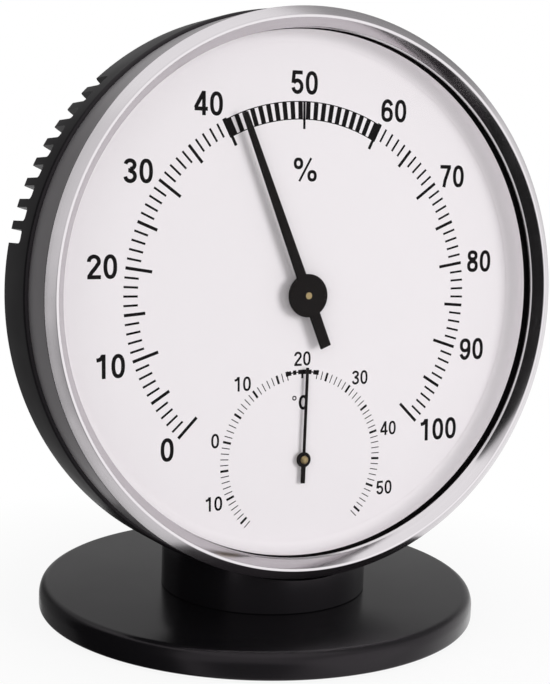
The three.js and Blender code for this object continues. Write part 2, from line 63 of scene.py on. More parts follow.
# Radius that counts as on the axis, edge too short to keep, and sharpest bend that is shaded smooth
ON_AXIS = 1e-9
SLIVER = 0.003 * MM
SMOOTH_UP_TO = math.radians(32)

# Largest share of an edge that one rounding takes up, and the limit that keeps a stroke's corner short
ROUNDING_SHARE = 0.45
MITRE_LIMIT = 0.4

# Slack where faces are told apart by their radius
FACE_MARGIN = 0.1 * MM

# Where the foot's soft edge bends, as shares of its width and its height
FOOT_EDGE_BEND = (0.3, 0.35)

# Scales: lowest and highest value, lowest and highest figure, the value at the top, degrees of bearing
# for one unit, the barred band and a bar's share of a unit
FIGURE_EVERY = 10
HUMIDITY_ENDS = (0, 100)
HUMIDITY_FIGURES = (0, 100)
HUMIDITY_TOP = 50
HUMIDITY_DEGREES = 2.7
HUMIDITY_BAND = (40, 60)
HUMIDITY_BAR = 0.55
TEMPERATURE_ENDS = (-16, 56)
TEMPERATURE_FIGURES = (-10, 50)
TEMPERATURE_TOP = 20
TEMPERATURE_DEGREES = 3.75
TEMPERATURE_BAND = (17, 23)
TEMPERATURE_BAR = 0.62

# Figures on the dial, as shares of their height
FIGURE_WIDTH = 0.59
FIGURE_PITCH = 0.70
FIGURE_PEN = 0.165
SMALL_FIGURE_PEN = 0.155
UNIT_WIDTH = 0.68
UNIT_PEN = 0.19

# How far figures beside the dial's middle stand off, as a share of half their width, and how soon
FIGURE_ASIDE = 1.13
FIGURE_ASIDE_POWER = 0.25

# A power below 1 flattens the sides of an oval
OVAL_POWER = 0.86

# The percent sign, as shares of the figures' height
PERCENT_RING = (0.16, 0.18)
PERCENT_RING_PLACE = (0.335, 0.26)
PERCENT_RING_PEN = 0.14
PERCENT_SLASH = 0.29
PERCENT_SLASH_PEN = 0.10

# Patterns: the values that most of a noise lies between, the darkest and lightest tone of turned
# rings, and the size of clouds on metal in millimetres
NOISE_RANGE = (0.3, 0.7)
RING_TONES = (0.9, 1.08)
CLOUD = 9.0

# Table: its radius, how far it lies under the rubber ring, the distances from the middle between which
# its shadow fades into plain white, and the share of plain white up to there
TABLE_RADIUS = 0.13
TABLE_DROP = 0.05 * MM
SHADOW_FADE = (0.06, 0.12)
SHADOW_WHITENESS = 0.90

# Softboxes: name, place, length of a side and power in watts, all turned toward one point
LIGHT_TARGET = (0, -0.02, 0.075)
SOFTBOXES = (
    ("key_softbox", (0.36, -0.66, 0.20), 0.32, 3.0),
    ("fill_softbox", (-0.45, -0.58, 0.25), 0.6, 1.3),
)

# Level of the surround for diffuse light
AMBIENT = 0.5

# Panels of the surround that the steel mirrors: the directions that a ray has to face, all of them at
# once, the angles in degrees at which the panel starts and is full, and its level in the white studio
PANELS = (
    # Black curtain on the left
    (((-0.438, 0.899, -0.10), (-0.707, -0.707, 0.08), (-0.85, 0.0, -0.52)), 90, 88, 0.02),
    # Dim behind on the left
    (((-0.707, 0.707, -0.13),), 60, 42, 0.2),
    # Dim round the camera and under it
    (((-0.46, -0.85, -0.25),), 32, 12, 0.25),
    # Dim behind on the right
    (((0.45, 0.80, 0.40),), 50, 25, 0.45),
    # Bright on the right
    (((0.92, 0.38, -0.10),), 45, 25, 1.2),
    # Dim high on the right
    (((0.68, 0.13, 0.72),), 27, 22, 0.45),
    # Bright overhead
    (((-0.10, -0.15, 0.98),), 32, 26, 1.3),
    # Bright in front on the right
    (((0.47, -0.88, 0.0),), 34, 22, 1.5),
)

# Camera, fitted to the rim, the scales and the foot in a picture of 550 by 684 pixels
VIEW_AZIMUTH = math.radians(-27.511)
VIEW_ELEVATION = math.radians(8.566)
VIEW_ROLL = math.radians(1.976)
VIEW_DISTANCE = 354.05 * MM
VIEW_TARGET = Vector((3.08, 0, 66.18)) * MM
FOCAL_PIXELS = 1438.99
PICTURE_HEIGHT = 684
FILM_WIDTH = 36
NEAREST_SEEN = 0.01


def length(name, millimetres, description):
    """A length of the object, given in millimetres and kept in metres."""
    return FloatProperty(name=name, description=description, default=millimetres * MM,
                         unit="LENGTH", precision=5)


def angle(name, degrees, description):
    """An angle of the object, given in degrees and kept in radians."""
    return FloatProperty(name=name, description=description, default=math.radians(degrees), unit="ROTATION")


def linear(hex_colour):
    """An sRGB hex colour as linear red, green, blue and alpha."""
    channels = [int(hex_colour[i:i + 2], 16) / 255 for i in (1, 3, 5)]
    return tuple(c / 12.92 if c <= 0.04045 else ((c + 0.055) / 1.055) ** 2.4 for c in channels) + (1.0,)


def colour(name, hex_colour, description):
    """A colour of the object, given as an sRGB hex value."""
    return FloatVectorProperty(name=name, description=description, size=4, min=0, max=1,
                               subtype="COLOR", default=linear(hex_colour))


class HygrometerSizes(bpy.types.PropertyGroup):
    """Sizes of the head, its dial and its foot."""

    head_forward: length("Head forward", 28.5, "How far the rim stands in front of the foot's middle")
    head_height: length("Head height", 80.7526, "Height of the middle of the rim over the table")
    head_lean: angle("Head lean", 3.5, "How far the dial leans back")

    sight_radius: length("Sight radius", 60.3, "Radius of the visible dial")
    slope_width: length("Slope width", 2.0, "Width of the polished slope inside the rim")
    slope_depth: length("Slope depth", 3.1, "Depth of the polished slope inside the rim")
    lip_width: length("Lip width", 0.35, "Width of the facet between the slope and the lens opening")
    lip_depth: length("Lip depth", 0.4, "Depth of the facet between the slope and the lens opening")
    rim_width: length("Rim width", 0.6, "Width of the flat front of the rim")
    chamfer_width: length("Chamfer width", 2.1, "Width of the chamfer outside the rim")
    chamfer_depth: length("Chamfer depth", 1.6, "Depth of the chamfer outside the rim")
    bezel_wall: length("Bezel wall", 1.1, "Thickness of the bezel's wall")
    bezel_depth: length("Bezel depth", 12.3, "Depth of the bezel from the rim to its back")
    bezel_edge: length("Bezel edge", 0.12, "Rounding of the bezel's edges")
    lens_shoulder: length("Lens shoulder", 3.4, "Depth of the shoulder that the lens lies against")
    lens_back: length("Lens back", 5.2, "Depth of the back of the lens")
    dial_front: length("Dial front", 9.4, "Depth of the printed face of the dial")
    cove_width: length("Cove width", 2.6, "Width of the hollow that runs from the spacer into the dial")
    cove_depth: length("Cove depth", 2.9, "Depth of the hollow that runs from the spacer into the dial")

    case_step: length("Case step", 0.8, "How far the case stands out past the bezel")
    case_wall: length("Case wall", 2.2, "Thickness of the moulded wall")
    case_front: length("Case front", 10.5, "Depth of the front of the case's neck")
    case_shoulder: length("Case shoulder", 12.6, "Depth of the case's front face behind the bezel")
    case_back: length("Case back", 27.7, "Depth of the back of the case")
    case_corner: length("Case corner", 1.0, "Rounding of the corners of the case, its slots and its cover")
    seat_gap: length("Seat gap", 0.3, "Gap between pieces that sit against each other")

    slot_width: length("Slot width", 3.1, "Width of one vent slot")
    slot_tooth: length("Slot tooth", 1.9, "Width of the wall between two vent slots")
    slot_length: length("Slot length", 8.6, "Length of a vent slot along the case")
    slot_inward: length("Slot inward", 6.8, "How far a vent slot reaches into the back of the case")
    slot_middle: angle("Slot middle", 60.6, "Bearing of the middle of a group of vent slots from the top")
    slot_count: IntProperty(name="Slot count", description="Vent slots in each group", default=9, min=1)

    cover_radius: length("Cover radius", 36.0, "Radius of the cover on the back")
    cover_depth: length("Cover depth", 6.0, "Depth of the cover on the back")
    opening_radius: length("Opening radius", 32.0, "Radius of the service opening under the cover")
    adjuster_x: length("Adjuster across", -24.039, "Place of the adjuster across the back")
    adjuster_z: length("Adjuster up", -36.007, "Place of the adjuster up the back")
    adjuster_radius: length("Adjuster radius", 3.0, "Radius of the adjuster's head")

    foot_radius: length("Foot radius", 53.8, "Radius of the foot")
    foot_base: length("Foot base", 0.6, "Height of the underside of the foot over the table")
    foot_top: length("Foot top", 6.6, "Height of the top of the foot")
    foot_edge_width: length("Foot edge width", 1.7, "Width of the foot's softened top edge")
    foot_edge_drop: length("Foot edge drop", 2.3, "Height of the foot's softened top edge")
    foot_corner: length("Foot corner", 0.7, "Rounding of the foot's corners")
    foot_web: length("Foot web", 3.0, "Thickness of the foot over its hollow")
    hollow_radius: length("Hollow radius", 41.5, "Radius of the hollow under the foot")
    pad_outer: length("Pad outer", 51.3, "Outer radius of the rubber ring")
    pad_inner: length("Pad inner", 44.8, "Inner radius of the rubber ring")
    pad_thickness: length("Pad thickness", 1.3, "Thickness of the rubber ring")
    pad_corner: length("Pad corner", 0.3, "Rounding of the rubber ring's corners")
    pillar_radius: length("Pillar radius", 25.1, "Radius of the pillar")
    pillar_forward: length("Pillar forward", 3.5, "How far the pillar stands in front of the foot's middle")
    pillar_edge: length("Pillar edge", 0.2, "Chamfer where the pillar stands on the foot")
    screw_back: length("Screw place", -12.45, "Place of the stand screw along the foot")
    screw_radius: length("Screw radius", 2.7, "Radius of the hole for the stand screw")

    hygro_length: length("Humidity pointer", 44.4, "Length of the humidity pointer from its axis to its tip")
    hygro_hub: length("Humidity hub", 5.0, "Radius of the humidity pointer's round hub")
    hygro_root: length("Humidity root", 2.5, "Width of the humidity pointer at its hub")
    hygro_tip: length("Humidity tip", 1.4, "Width of the humidity pointer at its tip")
    hygro_tail: length("Humidity tail", 13.0, "Length of the humidity pointer's tail")
    hygro_tail_width: length("Humidity tail width", 2.7, "Width of the humidity pointer's tail")
    hygro_front: length("Humidity pointer front", 6.5, "Depth of the front of the humidity pointer")
    hygro_thickness: length("Humidity thickness", 0.6, "Thickness of the humidity pointer")
    hygro_bevel: length("Humidity bevel", 0.15, "Bevel round the front of the humidity pointer")
    hygro_rest: angle("Humidity rest", -21.6, "Bearing of the humidity pointer at rest, 42 percent")

    thermo_drop: length("Thermometer drop", 38.5, "How far the thermometer's axis lies under the middle")
    thermo_length: length("Thermometer pointer", 21.6, "Length of the thermometer pointer")
    thermo_tail: length("Thermometer tail", 5.6, "Length of the thermometer pointer's tail")
    thermo_tip: length("Thermometer tip", 0.7, "Width of the thermometer pointer")
    thermo_tail_width: length("Thermometer tail width", 1.1, "Width of the thermometer pointer's tail")
    thermo_eye: length("Thermometer eye", 1.8, "Radius of the thermometer pointer's eye")
    thermo_front: length("Thermometer pointer front", 8.2, "Depth of the front of the thermometer pointer")
    thermo_thickness: length("Thermometer thickness", 0.3, "Thickness of the thermometer pointer")
    thermo_bevel: length("Thermometer bevel", 0.06, "Bevel round the front of the thermometer pointer")
    thermo_hub: length("Thermometer hub", 1.0, "Radius of the brass rivet on the thermometer pointer")
    thermo_hub_height: length("Thermometer hub height", 0.6, "Height of the brass rivet")
    thermo_hub_gap: length("Thermometer hub gap", 0.1, "Gap between the brass rivet and the pointer")
    thermo_rest: angle("Thermometer rest", 2.25, "Bearing of the thermometer pointer at rest, 20.6 degrees")

    ink_height: length("Ink height", 0.03, "How far the print stands on the dial")
    tick_outer: length("Tick circle", 44.5, "Outer radius of the humidity ticks")
    tick_ten: length("Ten tick", 6.35, "Length of the tick at every ten percent")
    tick_five: length("Five tick", 5.05, "Length of the tick at every five percent")
    tick_one: length("One tick", 3.4, "Length of the tick at every percent")
    tick_bold: length("Bold tick", 0.72, "Width of the bold humidity ticks")
    tick_thin: length("Thin tick", 0.5, "Width of the thin humidity ticks")
    band_width: length("Band width", 4.2, "Width of the barred band from 40 to 60 percent")
    band_end: length("Band end", 1.1, "Width of the bar at each end of the barred band")
    band_end_out: length("Band end out", 0.3, "How far those two bars stand out past the ticks")
    band_line: length("Band line", 0.22, "Width of the lines along the barred band")
    band_line_inset: length("Band line inset", 0.1, "How far those lines lie inside the barred band")
    figure_height: length("Figure height", 5.35, "Height of the humidity figures")
    figure_gap: length("Figure gap", 1.5, "Gap between the humidity ticks and their figures")
    percent_across: length("Percent across", 0.35, "Place of the percent sign across the dial")
    percent_up: length("Percent up", 28.9, "Height of the percent sign over the dial's middle")
    small_tick_outer: length("Small tick circle", 21.1, "Outer radius of the thermometer ticks")
    small_tick: length("Small tick", 2.05, "Length of the thermometer ticks")
    small_bold: length("Small bold tick", 0.55, "Width of the bold thermometer ticks")
    small_thin: length("Small thin tick", 0.22, "Width of the thin thermometer ticks")
    small_band: length("Small band", 1.05, "Width of the barred band from 17 to 23 degrees")
    small_band_end: length("Small band end", 0.7, "Width of the bar at each end of the small band")
    small_band_end_out: length("Small band end out", 0.1, "How far those two bars stand out past the ticks")
    small_band_line: length("Small band line", 0.3, "Width of the line along the small band")
    small_figure: length("Small figure height", 3.35, "Height of the thermometer figures")
    small_gap: length("Small figure gap", 0.9, "Gap between the thermometer ticks and their figures")
    unit_height: length("Unit height", 3.5, "Height of the unit's letter")
    unit_across: length("Unit across", 0.3, "Place of the unit's letter across the dial")
    unit_down: length("Unit down", 25.1, "How far the unit's letter lies under the dial's middle")
    degree_across: length("Degree across", -2.05, "Place of the degree ring across the dial")
    degree_down: length("Degree down", 24.0, "How far the degree ring lies under the dial's middle")
    degree_radius: length("Degree radius", 0.42, "Radius of the degree ring")
    degree_pen: length("Degree pen", 0.3, "Width of the degree ring's line")


class HygrometerColours(bpy.types.PropertyGroup):
    """Colours of the finishes."""

    plastic: colour("Case plastic", "#111012", "Black of the case, the foot and the pillar")
    steel: colour("Bezel steel", "#c7c3c6", "Bright steel of the bezel")
    dial: colour("Dial lacquer", "#f3eef1", "Silver white of the dial")
    # This black also colours the painted shade round the lens inside the bezel
    ink: colour("Print", "#131112", "Black of the scales and figures")
    pointer: colour("Pointer lacquer", "#161313", "Black of the pointers")
    brass: colour("Brass", "#a3906a", "Yellow of the turned brass pieces")
    rubber: colour("Pad rubber", "#1c1c1d", "Black of the ring under the foot")
    lens: colour("Lens", "#0c0d0e", "Faint grey of the lens")
    bimetal: colour("Bimetal", "#9a7f55", "Straw yellow of the bimetal spiral")
    spring: colour("Hairspring", "#5a6785", "Blue of the hairspring")
    zinc: colour("Zinc", "#9ea1a6", "Grey of the plated screws and of the weight in the foot")
    hair: colour("Hair", "#d8cdb4", "Pale straw of the hair and the thread")
    floor: colour("Floor", "#f6f6f7", "White of the table")


# Shapes

def head_place(sizes):
    """Where the head stands: its own Y axis runs back from the rim through the dial."""
    return (Matrix.Translation((0, -sizes.head_forward, sizes.head_height))
            @ Matrix.Rotation(-sizes.head_lean, 4, "X"))


def bezel_radius(sizes):
    """Outer radius of the bezel."""
    return sizes.sight_radius + sizes.slope_width + sizes.rim_width + sizes.chamfer_width


def mesh_from(shape, name):
    """Turns a bmesh into a mesh with outward faces and smooth shading up to sharp edges."""
    bmesh.ops.recalc_face_normals(shape, faces=shape.faces)
    mesh = bpy.data.meshes.new(name)
    shape.to_mesh(mesh)
    shape.free()
    shade(mesh)
    return mesh


def shade(mesh):
    """Smooth shading up to sharp edges."""
    mesh.shade_smooth()
    mesh.set_sharp_from_angle(angle=SMOOTH_UP_TO)


def softened(profile, radius, steps=4):
    """The same profile of radius and depth with its corners rounded; ends on the axis stay."""
    ring = profile[0][0] > 0
    points = [Vector(p) for p in profile]
    result = []
    for i, corner in enumerate(points):
        if not ring and i in (0, len(points) - 1):
            result.append(tuple(corner))
            continue
        before = points[i - 1] - corner
        after = points[(i + 1) % len(points)] - corner
        reach = min(radius, ROUNDING_SHARE * before.length, ROUNDING_SHARE * after.length)
        start = corner + before.normalized() * reach
        end = corner + after.normalized() * reach
        for k in range(steps + 1):
            t = k / steps
            result.append(tuple(start * (1 - t) ** 2 + corner * (2 * t * (1 - t)) + end * t ** 2))
    return result


def turned(profile, segments=FINE_TURN):
    """A closed solid turned about the Y axis from points of radius and depth."""
    shape = bmesh.new()
    rings = []
    for radius, depth in profile:
        if radius < ON_AXIS:
            rings.append([shape.verts.new((0, depth, 0))])
            continue
        turns = [2 * math.pi * i / segments for i in range(segments)]
        rings.append([shape.verts.new((radius * math.sin(t), depth, radius * math.cos(t))) for t in turns])
    neighbours = list(zip(rings, rings[1:]))
    if profile[0][0] > 0:
        neighbours.append((rings[-1], rings[0]))
    for near, far in neighbours:
        for i in range(segments):
            j = i + 1
            corners = (near[i % len(near)], near[j % len(near)], far[j % len(far)], far[i % len(far)])
            shape.faces.new(dict.fromkeys(corners))
    return shape


def rod(radius, start, end, segments=SMALL_TURN):
    """A closed round rod along the Y axis between two depths."""
    return turned([(0, start), (radius, start), (radius, end), (0, end)], segments)


def upright(shape):
    """Stands a turned solid on the table: its depths become heights."""
    bmesh.ops.rotate(shape, cent=(0, 0, 0), matrix=Matrix.Rotation(math.pi / 2, 3, "X"), verts=shape.verts)
    return shape


def add_wall(shape, near, far):
    """Joins two closed rows of points by a wall of faces."""
    for i in range(len(near)):
        j = (i + 1) % len(near)
        shape.faces.new((near[i], near[j], far[j], far[i]))


def sideways(points, closed):
    """For each point of a line on the dial, the step that moves the line one unit to its left."""
    steps = []
    last = len(points) - 1
    for i, point in enumerate(points):
        before = points[i - 1] if i > 0 or closed else None
        after = points[(i + 1) % len(points)] if i < last or closed else None
        ways = [(point - before).normalized()] if before is not None else []
        if after is not None:
            ways.append((after - point).normalized())
        normals = [Vector((-way.y, way.x)) for way in ways]
        middle = sum(normals, Vector((0, 0))).normalized()
        steps.append(middle / max(middle.dot(normals[0]), MITRE_LIMIT))
    return steps


def add_stroke(shape, line, pen, closed, depths):
    """Adds a closed bar of the pen's width along a line on the dial, between two depths."""
    front, back = depths
    points = [Vector(p) for p in line]
    rows = []
    for point, step in zip(points, sideways(points, closed)):
        left = point + step * (pen / 2)
        right = point - step * (pen / 2)
        corners = ((left, front), (right, front), (right, back), (left, back))
        rows.append([shape.verts.new((p.x, depth, p.y)) for p, depth in corners])
    pairs = list(zip(rows, rows[1:]))
    if closed:
        pairs.append((rows[-1], rows[0]))
    for near, far in pairs:
        add_wall(shape, near, far)
    if not closed:
        shape.faces.new(rows[0])
        shape.faces.new(rows[-1])


def plate(outline, front, thickness, edge):
    """A flat closed plate with that outline on the dial and a small bevel round its front."""
    points = [Vector(p) for p in outline]
    inner = [p + step * edge for p, step in zip(points, sideways(points, True))]
    shape = bmesh.new()
    rows = []
    for row, depth in ((inner, front), (points, front + edge), (points, front + thickness)):
        rows.append([shape.verts.new((p.x, depth, p.y)) for p in row])
    shape.faces.new(rows[0])
    shape.faces.new(rows[-1])
    for near, far in zip(rows, rows[1:]):
        add_wall(shape, near, far)
    return shape


def on_circle(radius, bearing):
    """A point of the dial at that radius and bearing, clockwise from the top."""
    return Vector((radius * math.sin(bearing), radius * math.cos(bearing)))


def pointer_outline(eye, root, tip, reach, tail, tail_width):
    """A needle up to its tip, a round eye about the axis and a square tail down."""
    root_turn = math.asin(root / 2 / eye)
    tail_turn = math.pi - math.asin(tail_width / 2 / eye)
    turns = [root_turn + (tail_turn - root_turn) * i / HUB_STEPS for i in range(HUB_STEPS + 1)]
    right = [Vector((tip / 2, reach))]
    right += [on_circle(eye, t) for t in turns]
    right.append(Vector((tail_width / 2, -tail)))
    left = [Vector((-p.x, p.y)) for p in reversed(right)]
    return list(reversed(right + left))


def carve(piece, cutter):
    """Cuts a closed bmesh out of a piece, cleans slivers away and keeps the result as its mesh."""
    bmesh.ops.recalc_face_normals(cutter, faces=cutter.faces)
    mesh = bpy.data.meshes.new("cutter")
    cutter.to_mesh(mesh)
    cutter.free()
    tool = bpy.data.objects.new("cutter", mesh)
    tool.matrix_world = piece.matrix_world
    bpy.context.scene.collection.objects.link(tool)
    cut = piece.modifiers.new("Cut", "BOOLEAN")
    cut.operation = "DIFFERENCE"
    cut.solver = "EXACT"
    cut.object = tool
    graph = bpy.context.evaluated_depsgraph_get()
    result = bpy.data.meshes.new_from_object(piece.evaluated_get(graph))
    piece.modifiers.clear()
    plain = piece.data
    piece.data = result
    bpy.data.meshes.remove(plain)
    bpy.data.objects.remove(tool)
    bpy.data.meshes.remove(mesh)
    cleaned = bmesh.new()
    cleaned.from_mesh(result)
    bmesh.ops.remove_doubles(cleaned, verts=cleaned.verts, dist=SLIVER)
    bmesh.ops.dissolve_degenerate(cleaned, edges=cleaned.edges, dist=SLIVER)
    cleaned.to_mesh(result)
    cleaned.free()
    shade(result)


def new_piece(name, shape, place, *finishes):
    """Adds a piece at its place in the frame with its finishes."""
    piece = bpy.data.objects.new(name, mesh_from(shape, name))
    piece.matrix_world = place
    bpy.context.scene.collection.objects.link(piece)
    for each in finishes:
        piece.data.materials.append(finish(each))
    return piece


def settle(piece, body, slot, *nodes):
    """Lets a finished piece ride on its body and hides the nodes that it stands for; the slot is not used.
    """
    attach(piece, body)
    if nodes:
        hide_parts(*nodes)


# Print on the dial

def arc(x, y, across, up, start, end, steps=16):
    """Points along an ellipse about x and y, between two bearings in degrees from the right."""
    turns = [math.radians(start + (end - start) * i / steps) for i in range(steps + 1)]
    return [(x + across * math.cos(t), y + up * math.sin(t)) for t in turns]


def oval(x, y, across, up, steps=36):
    """A closed oval with slightly flattened sides."""
    points = []
    for i in range(steps):
        turn = 2 * math.pi * i / steps
        flat = [math.copysign(abs(c) ** OVAL_POWER, c) for c in (math.cos(turn), math.sin(turn))]
        points.append((x + across * flat[0], y + up * flat[1]))
    return points


def figure_strokes(sign, width, pen):
    """The strokes of one figure as pairs of a line and whether it closes on itself.

    They are centre lines in a cell one high, x to the right and y up.
    """
    low, high = pen / 2, 1 - pen / 2
    left, right, middle = pen / 2, width - pen / 2, width / 2
    across = middle - left
    six = [
        (oval(middle, 0.325, across, 0.325 - low), True),
        (arc(middle + 0.02, 0.56, across + 0.02, high - 0.56, 28, 180) + [(left, 0.33)], False),
    ]
    flag = [(0.10 * width, 0.765), (0.32 * width, 0.785), (0.47 * width, 0.85), (0.56 * width, 0.97)]
    sweep = [(0.60 * width, 0.45), (0.34 * width, 0.28), (0.16 * width, 0.12), (left + 0.01, 0.02)]
    strokes = {
        "0": [(oval(middle, 0.5, across, 0.5 - low), True)],
        "1": [
            ([(0.62 * width, 0), (0.62 * width, 1)], False),
            (flag, False),
        ],
        "2": [
            (arc(middle, 0.715, across, high - 0.715, 184, -24) + sweep, False),
            ([(0.01, low), (width, low)], False),
        ],
        "3": [
            (arc(middle, 0.745, across * 0.93, high - 0.745, 172, -90), False),
            (arc(middle, 0.285, across, 0.285 - low, 95, -174), False),
            ([(0.36 * width, 0.52), (middle + 0.02, 0.52)], False),
        ],
        "4": [
            ([(0.72 * width, 0), (0.72 * width, 1)], False),
            ([(0.70 * width, 0.96), (0.07 * width, 0.30)], False),
            ([(0, 0.27), (width * 1.02, 0.27)], False),
        ],
        "5": [
            ([(0.17 * width, high), (0.93 * width, high)], False),
            ([(0.24 * width, 0.98), (0.15 * width, 0.46)], False),
            (arc(middle, 0.33, across, 0.33 - low, 146, -168), False),
        ],
        "6": six,
        "7": [
            ([(0.02 * width, high), (width - 0.01, high)], False),
            ([(right, high), (0.66 * width, 0.60), (0.46 * width, 0.30), (0.36 * width, 0)], False),
        ],
        "8": [
            (oval(middle, 0.755, across * 0.9, high - 0.755), True),
            (oval(middle, 0.285, across, 0.285 - low), True),
        ],
        "9": [([(width - x, 1 - y) for x, y in line], closed) for line, closed in six],
        "C": [(arc(middle, 0.5, across, 0.5 - low, 42, 318, 28), False)],
    }
    return strokes[sign]


def text_width(text):
    """Width of a row of figures as a share of their height."""
    return FIGURE_PITCH * (len(text) - 1) + FIGURE_WIDTH


def outside_ticks(radius, bearing, text, height):
    """Middle of a row of upright figures that stands just outside a circle at that bearing."""
    across = text_width(text) * height / 2
    sine, cosine = math.sin(bearing), math.cos(bearing)
    aside = math.copysign(abs(sine) ** FIGURE_ASIDE_POWER, sine) * across * FIGURE_ASIDE
    above = cosine * abs(cosine) * height / 2
    return on_circle(radius, bearing) + Vector((aside, above))


def add_figures(shape, text, centre, height, pen, depths):
    """Adds a row of upright figures round a centre; the pen is a share of the height."""
    start = centre.x - text_width(text) * height / 2
    foot = centre.y - height / 2
    for i, sign in enumerate(text):
        for line, closed in figure_strokes(sign, FIGURE_WIDTH, pen):
            points = [(start + (i * FIGURE_PITCH + x) * height, foot + y * height) for x, y in line]
            add_stroke(shape, points, pen * height, closed, depths)


def from_to(ends, step=1):
    """Whole values between two ends, both of them included."""
    return range(ends[0], ends[1] + 1, step)


def scale_figures(ends, bearing, radius, height, pen, depths):
    """The figures of a scale, just outside a circle; a value below zero has no sign of its own."""
    shape = bmesh.new()
    for value in from_to(ends, FIGURE_EVERY):
        text = str(abs(value))
        add_figures(shape, text, outside_ticks(radius, bearing(value), text, height), height, pen, depths)
    return shape


def add_tick(shape, bearing, outer, reach, pen, depths):
    """Adds a straight tick that runs inward from a circle."""
    add_stroke(shape, [on_circle(outer, bearing), on_circle(outer - reach, bearing)], pen, False, depths)


def add_band(shape, bearing, band, outer, width, bar_share, end, end_out, depths):
    """Adds the bars between two values of a scale and a wide bar at each end."""
    bar = bar_share * (bearing(1) - bearing(0)) * outer
    for value in range(*band):
        add_tick(shape, bearing(value + 0.5), outer, width, bar, depths)
    for value in band:
        add_tick(shape, bearing(value), outer + end_out, width + end_out, end, depths)


def add_band_line(shape, bearing, band, radius, pen, parts, depths):
    """Adds a line along a band, bent in a number of parts to each unit."""
    low, high = band
    line = [on_circle(radius, bearing(low + i / parts)) for i in range((high - low) * parts + 1)]
    add_stroke(shape, line, pen, False, depths)


def print_depths(sizes):
    """Front and back of the print; its back lies in the dial."""
    return sizes.dial_front - sizes.ink_height, sizes.dial_front + sizes.ink_height


def settle_print(name, shape, place):
    """Adds printed signs on the dial, not mirrored in the polished slope and without a shadow."""
    sign = new_piece(name, shape, place, "screen_printed_ink")
    sign.visible_glossy = False
    sign.visible_diffuse = False
    sign.visible_shadow = False
    settle(sign, "stand", "pointer_black")


# Materials

def add_node(tree, kind, settings=None, links=None):
    """Adds a node, sets its options and sockets, and links its inputs to a node's named output."""
    node = tree.nodes.new(kind)
    for name, value in (settings or {}).items():
        if isinstance(name, str) and hasattr(node, name):
            setattr(node, name, value)
        else:
            node.inputs[name].default_value = value
    for name, (source, output) in (links or {}).items():
        tree.links.new(source.outputs[output], node.inputs[name])
    return node


def per_metre(millimetres):
    """How often a pattern of that size repeats in a metre."""
    return 1 / (millimetres * MM)


def tone(base, factor):
    """A darker or lighter tone of a colour."""
    return tuple(min(1.0, c * factor) for c in base[:3]) + (1.0,)


def empty_tree(owner):
    """The node tree of a material or a world, with nothing in it."""
    owner.use_nodes = True
    owner.node_tree.nodes.clear()
    return owner.node_tree


def join_patterns(tree, tones, mottle, roughness, sheen, bump, relief, sockets):
    """Ends a material: one pattern runs between two tones, one drives the roughness, one the relief."""
    shades = add_node(tree, "ShaderNodeMix", {"data_type": "RGBA", 6: tones[0], 7: tones[1]},
                      {0: (mottle, "Fac")})
    gloss = add_node(tree, "ShaderNodeMapRange",
                     {"From Min": NOISE_RANGE[0], "From Max": NOISE_RANGE[1],
                      "To Min": roughness[0], "To Max": roughness[1]},
                     {"Value": (sheen, "Fac")})
    bumps = add_node(tree, "ShaderNodeBump", {"Strength": 1.0, "Distance": bump * MM},
                     {"Height": (relief, "Fac")})
    shader = add_node(tree, "ShaderNodeBsdfPrincipled", sockets,
                      {"Base Color": (shades, 2), "Roughness": (gloss, "Result"),
                       "Normal": (bumps, "Normal")})
    add_node(tree, "ShaderNodeOutputMaterial", None, {"Surface": (shader, "BSDF")})


def grained_finish(name, base, spread, roughness, grain, patch, bump, sockets, stretch=(1, 1, 1)):
    """A material whose tone and roughness wander over patches, with a fine grain in its relief."""
    tree = empty_tree(bpy.data.materials.new(name))
    place = add_node(tree, "ShaderNodeTexCoord")
    drawn = add_node(tree, "ShaderNodeMapping", {"Scale": stretch}, {"Vector": (place, "Object")})
    patches = add_node(tree, "ShaderNodeTexNoise", {"Scale": per_metre(patch), "Detail": 3.0},
                       {"Vector": (drawn, "Vector")})
    grains = add_node(tree, "ShaderNodeTexNoise", {"Scale": per_metre(grain), "Detail": 2.0},
                      {"Vector": (drawn, "Vector")})
    tones = tone(base, 1 - spread), tone(base, 1 + spread)
    join_patterns(tree, tones, patches, roughness, patches, bump, grains, sockets)


def turned_finish(name, base, roughness, line, bump):
    """A metal with fine rings left by turning: a pattern of radius and depth, the same all round."""
    tree = empty_tree(bpy.data.materials.new(name))
    place = add_node(tree, "ShaderNodeTexCoord")
    parts = add_node(tree, "ShaderNodeSeparateXYZ", None, {"Vector": (place, "Object")})
    flat = add_node(tree, "ShaderNodeCombineXYZ", None, {"X": (parts, "X"), "Z": (parts, "Z")})
    radius = add_node(tree, "ShaderNodeVectorMath", {"operation": "LENGTH"}, {0: (flat, "Vector")})
    across = add_node(tree, "ShaderNodeCombineXYZ", None, {"X": (radius, "Value"), "Y": (parts, "Y")})
    rings = add_node(tree, "ShaderNodeTexNoise", {"Scale": per_metre(line), "Detail": 3.0},
                     {"Vector": (across, "Vector")})
    cloud = add_node(tree, "ShaderNodeTexNoise", {"Scale": per_metre(CLOUD), "Detail": 2.0},
                     {"Vector": (place, "Object")})
    tones = [tone(base, factor) for factor in RING_TONES]
    join_patterns(tree, tones, rings, roughness, cloud, bump, rings, {"Metallic": 1.0})


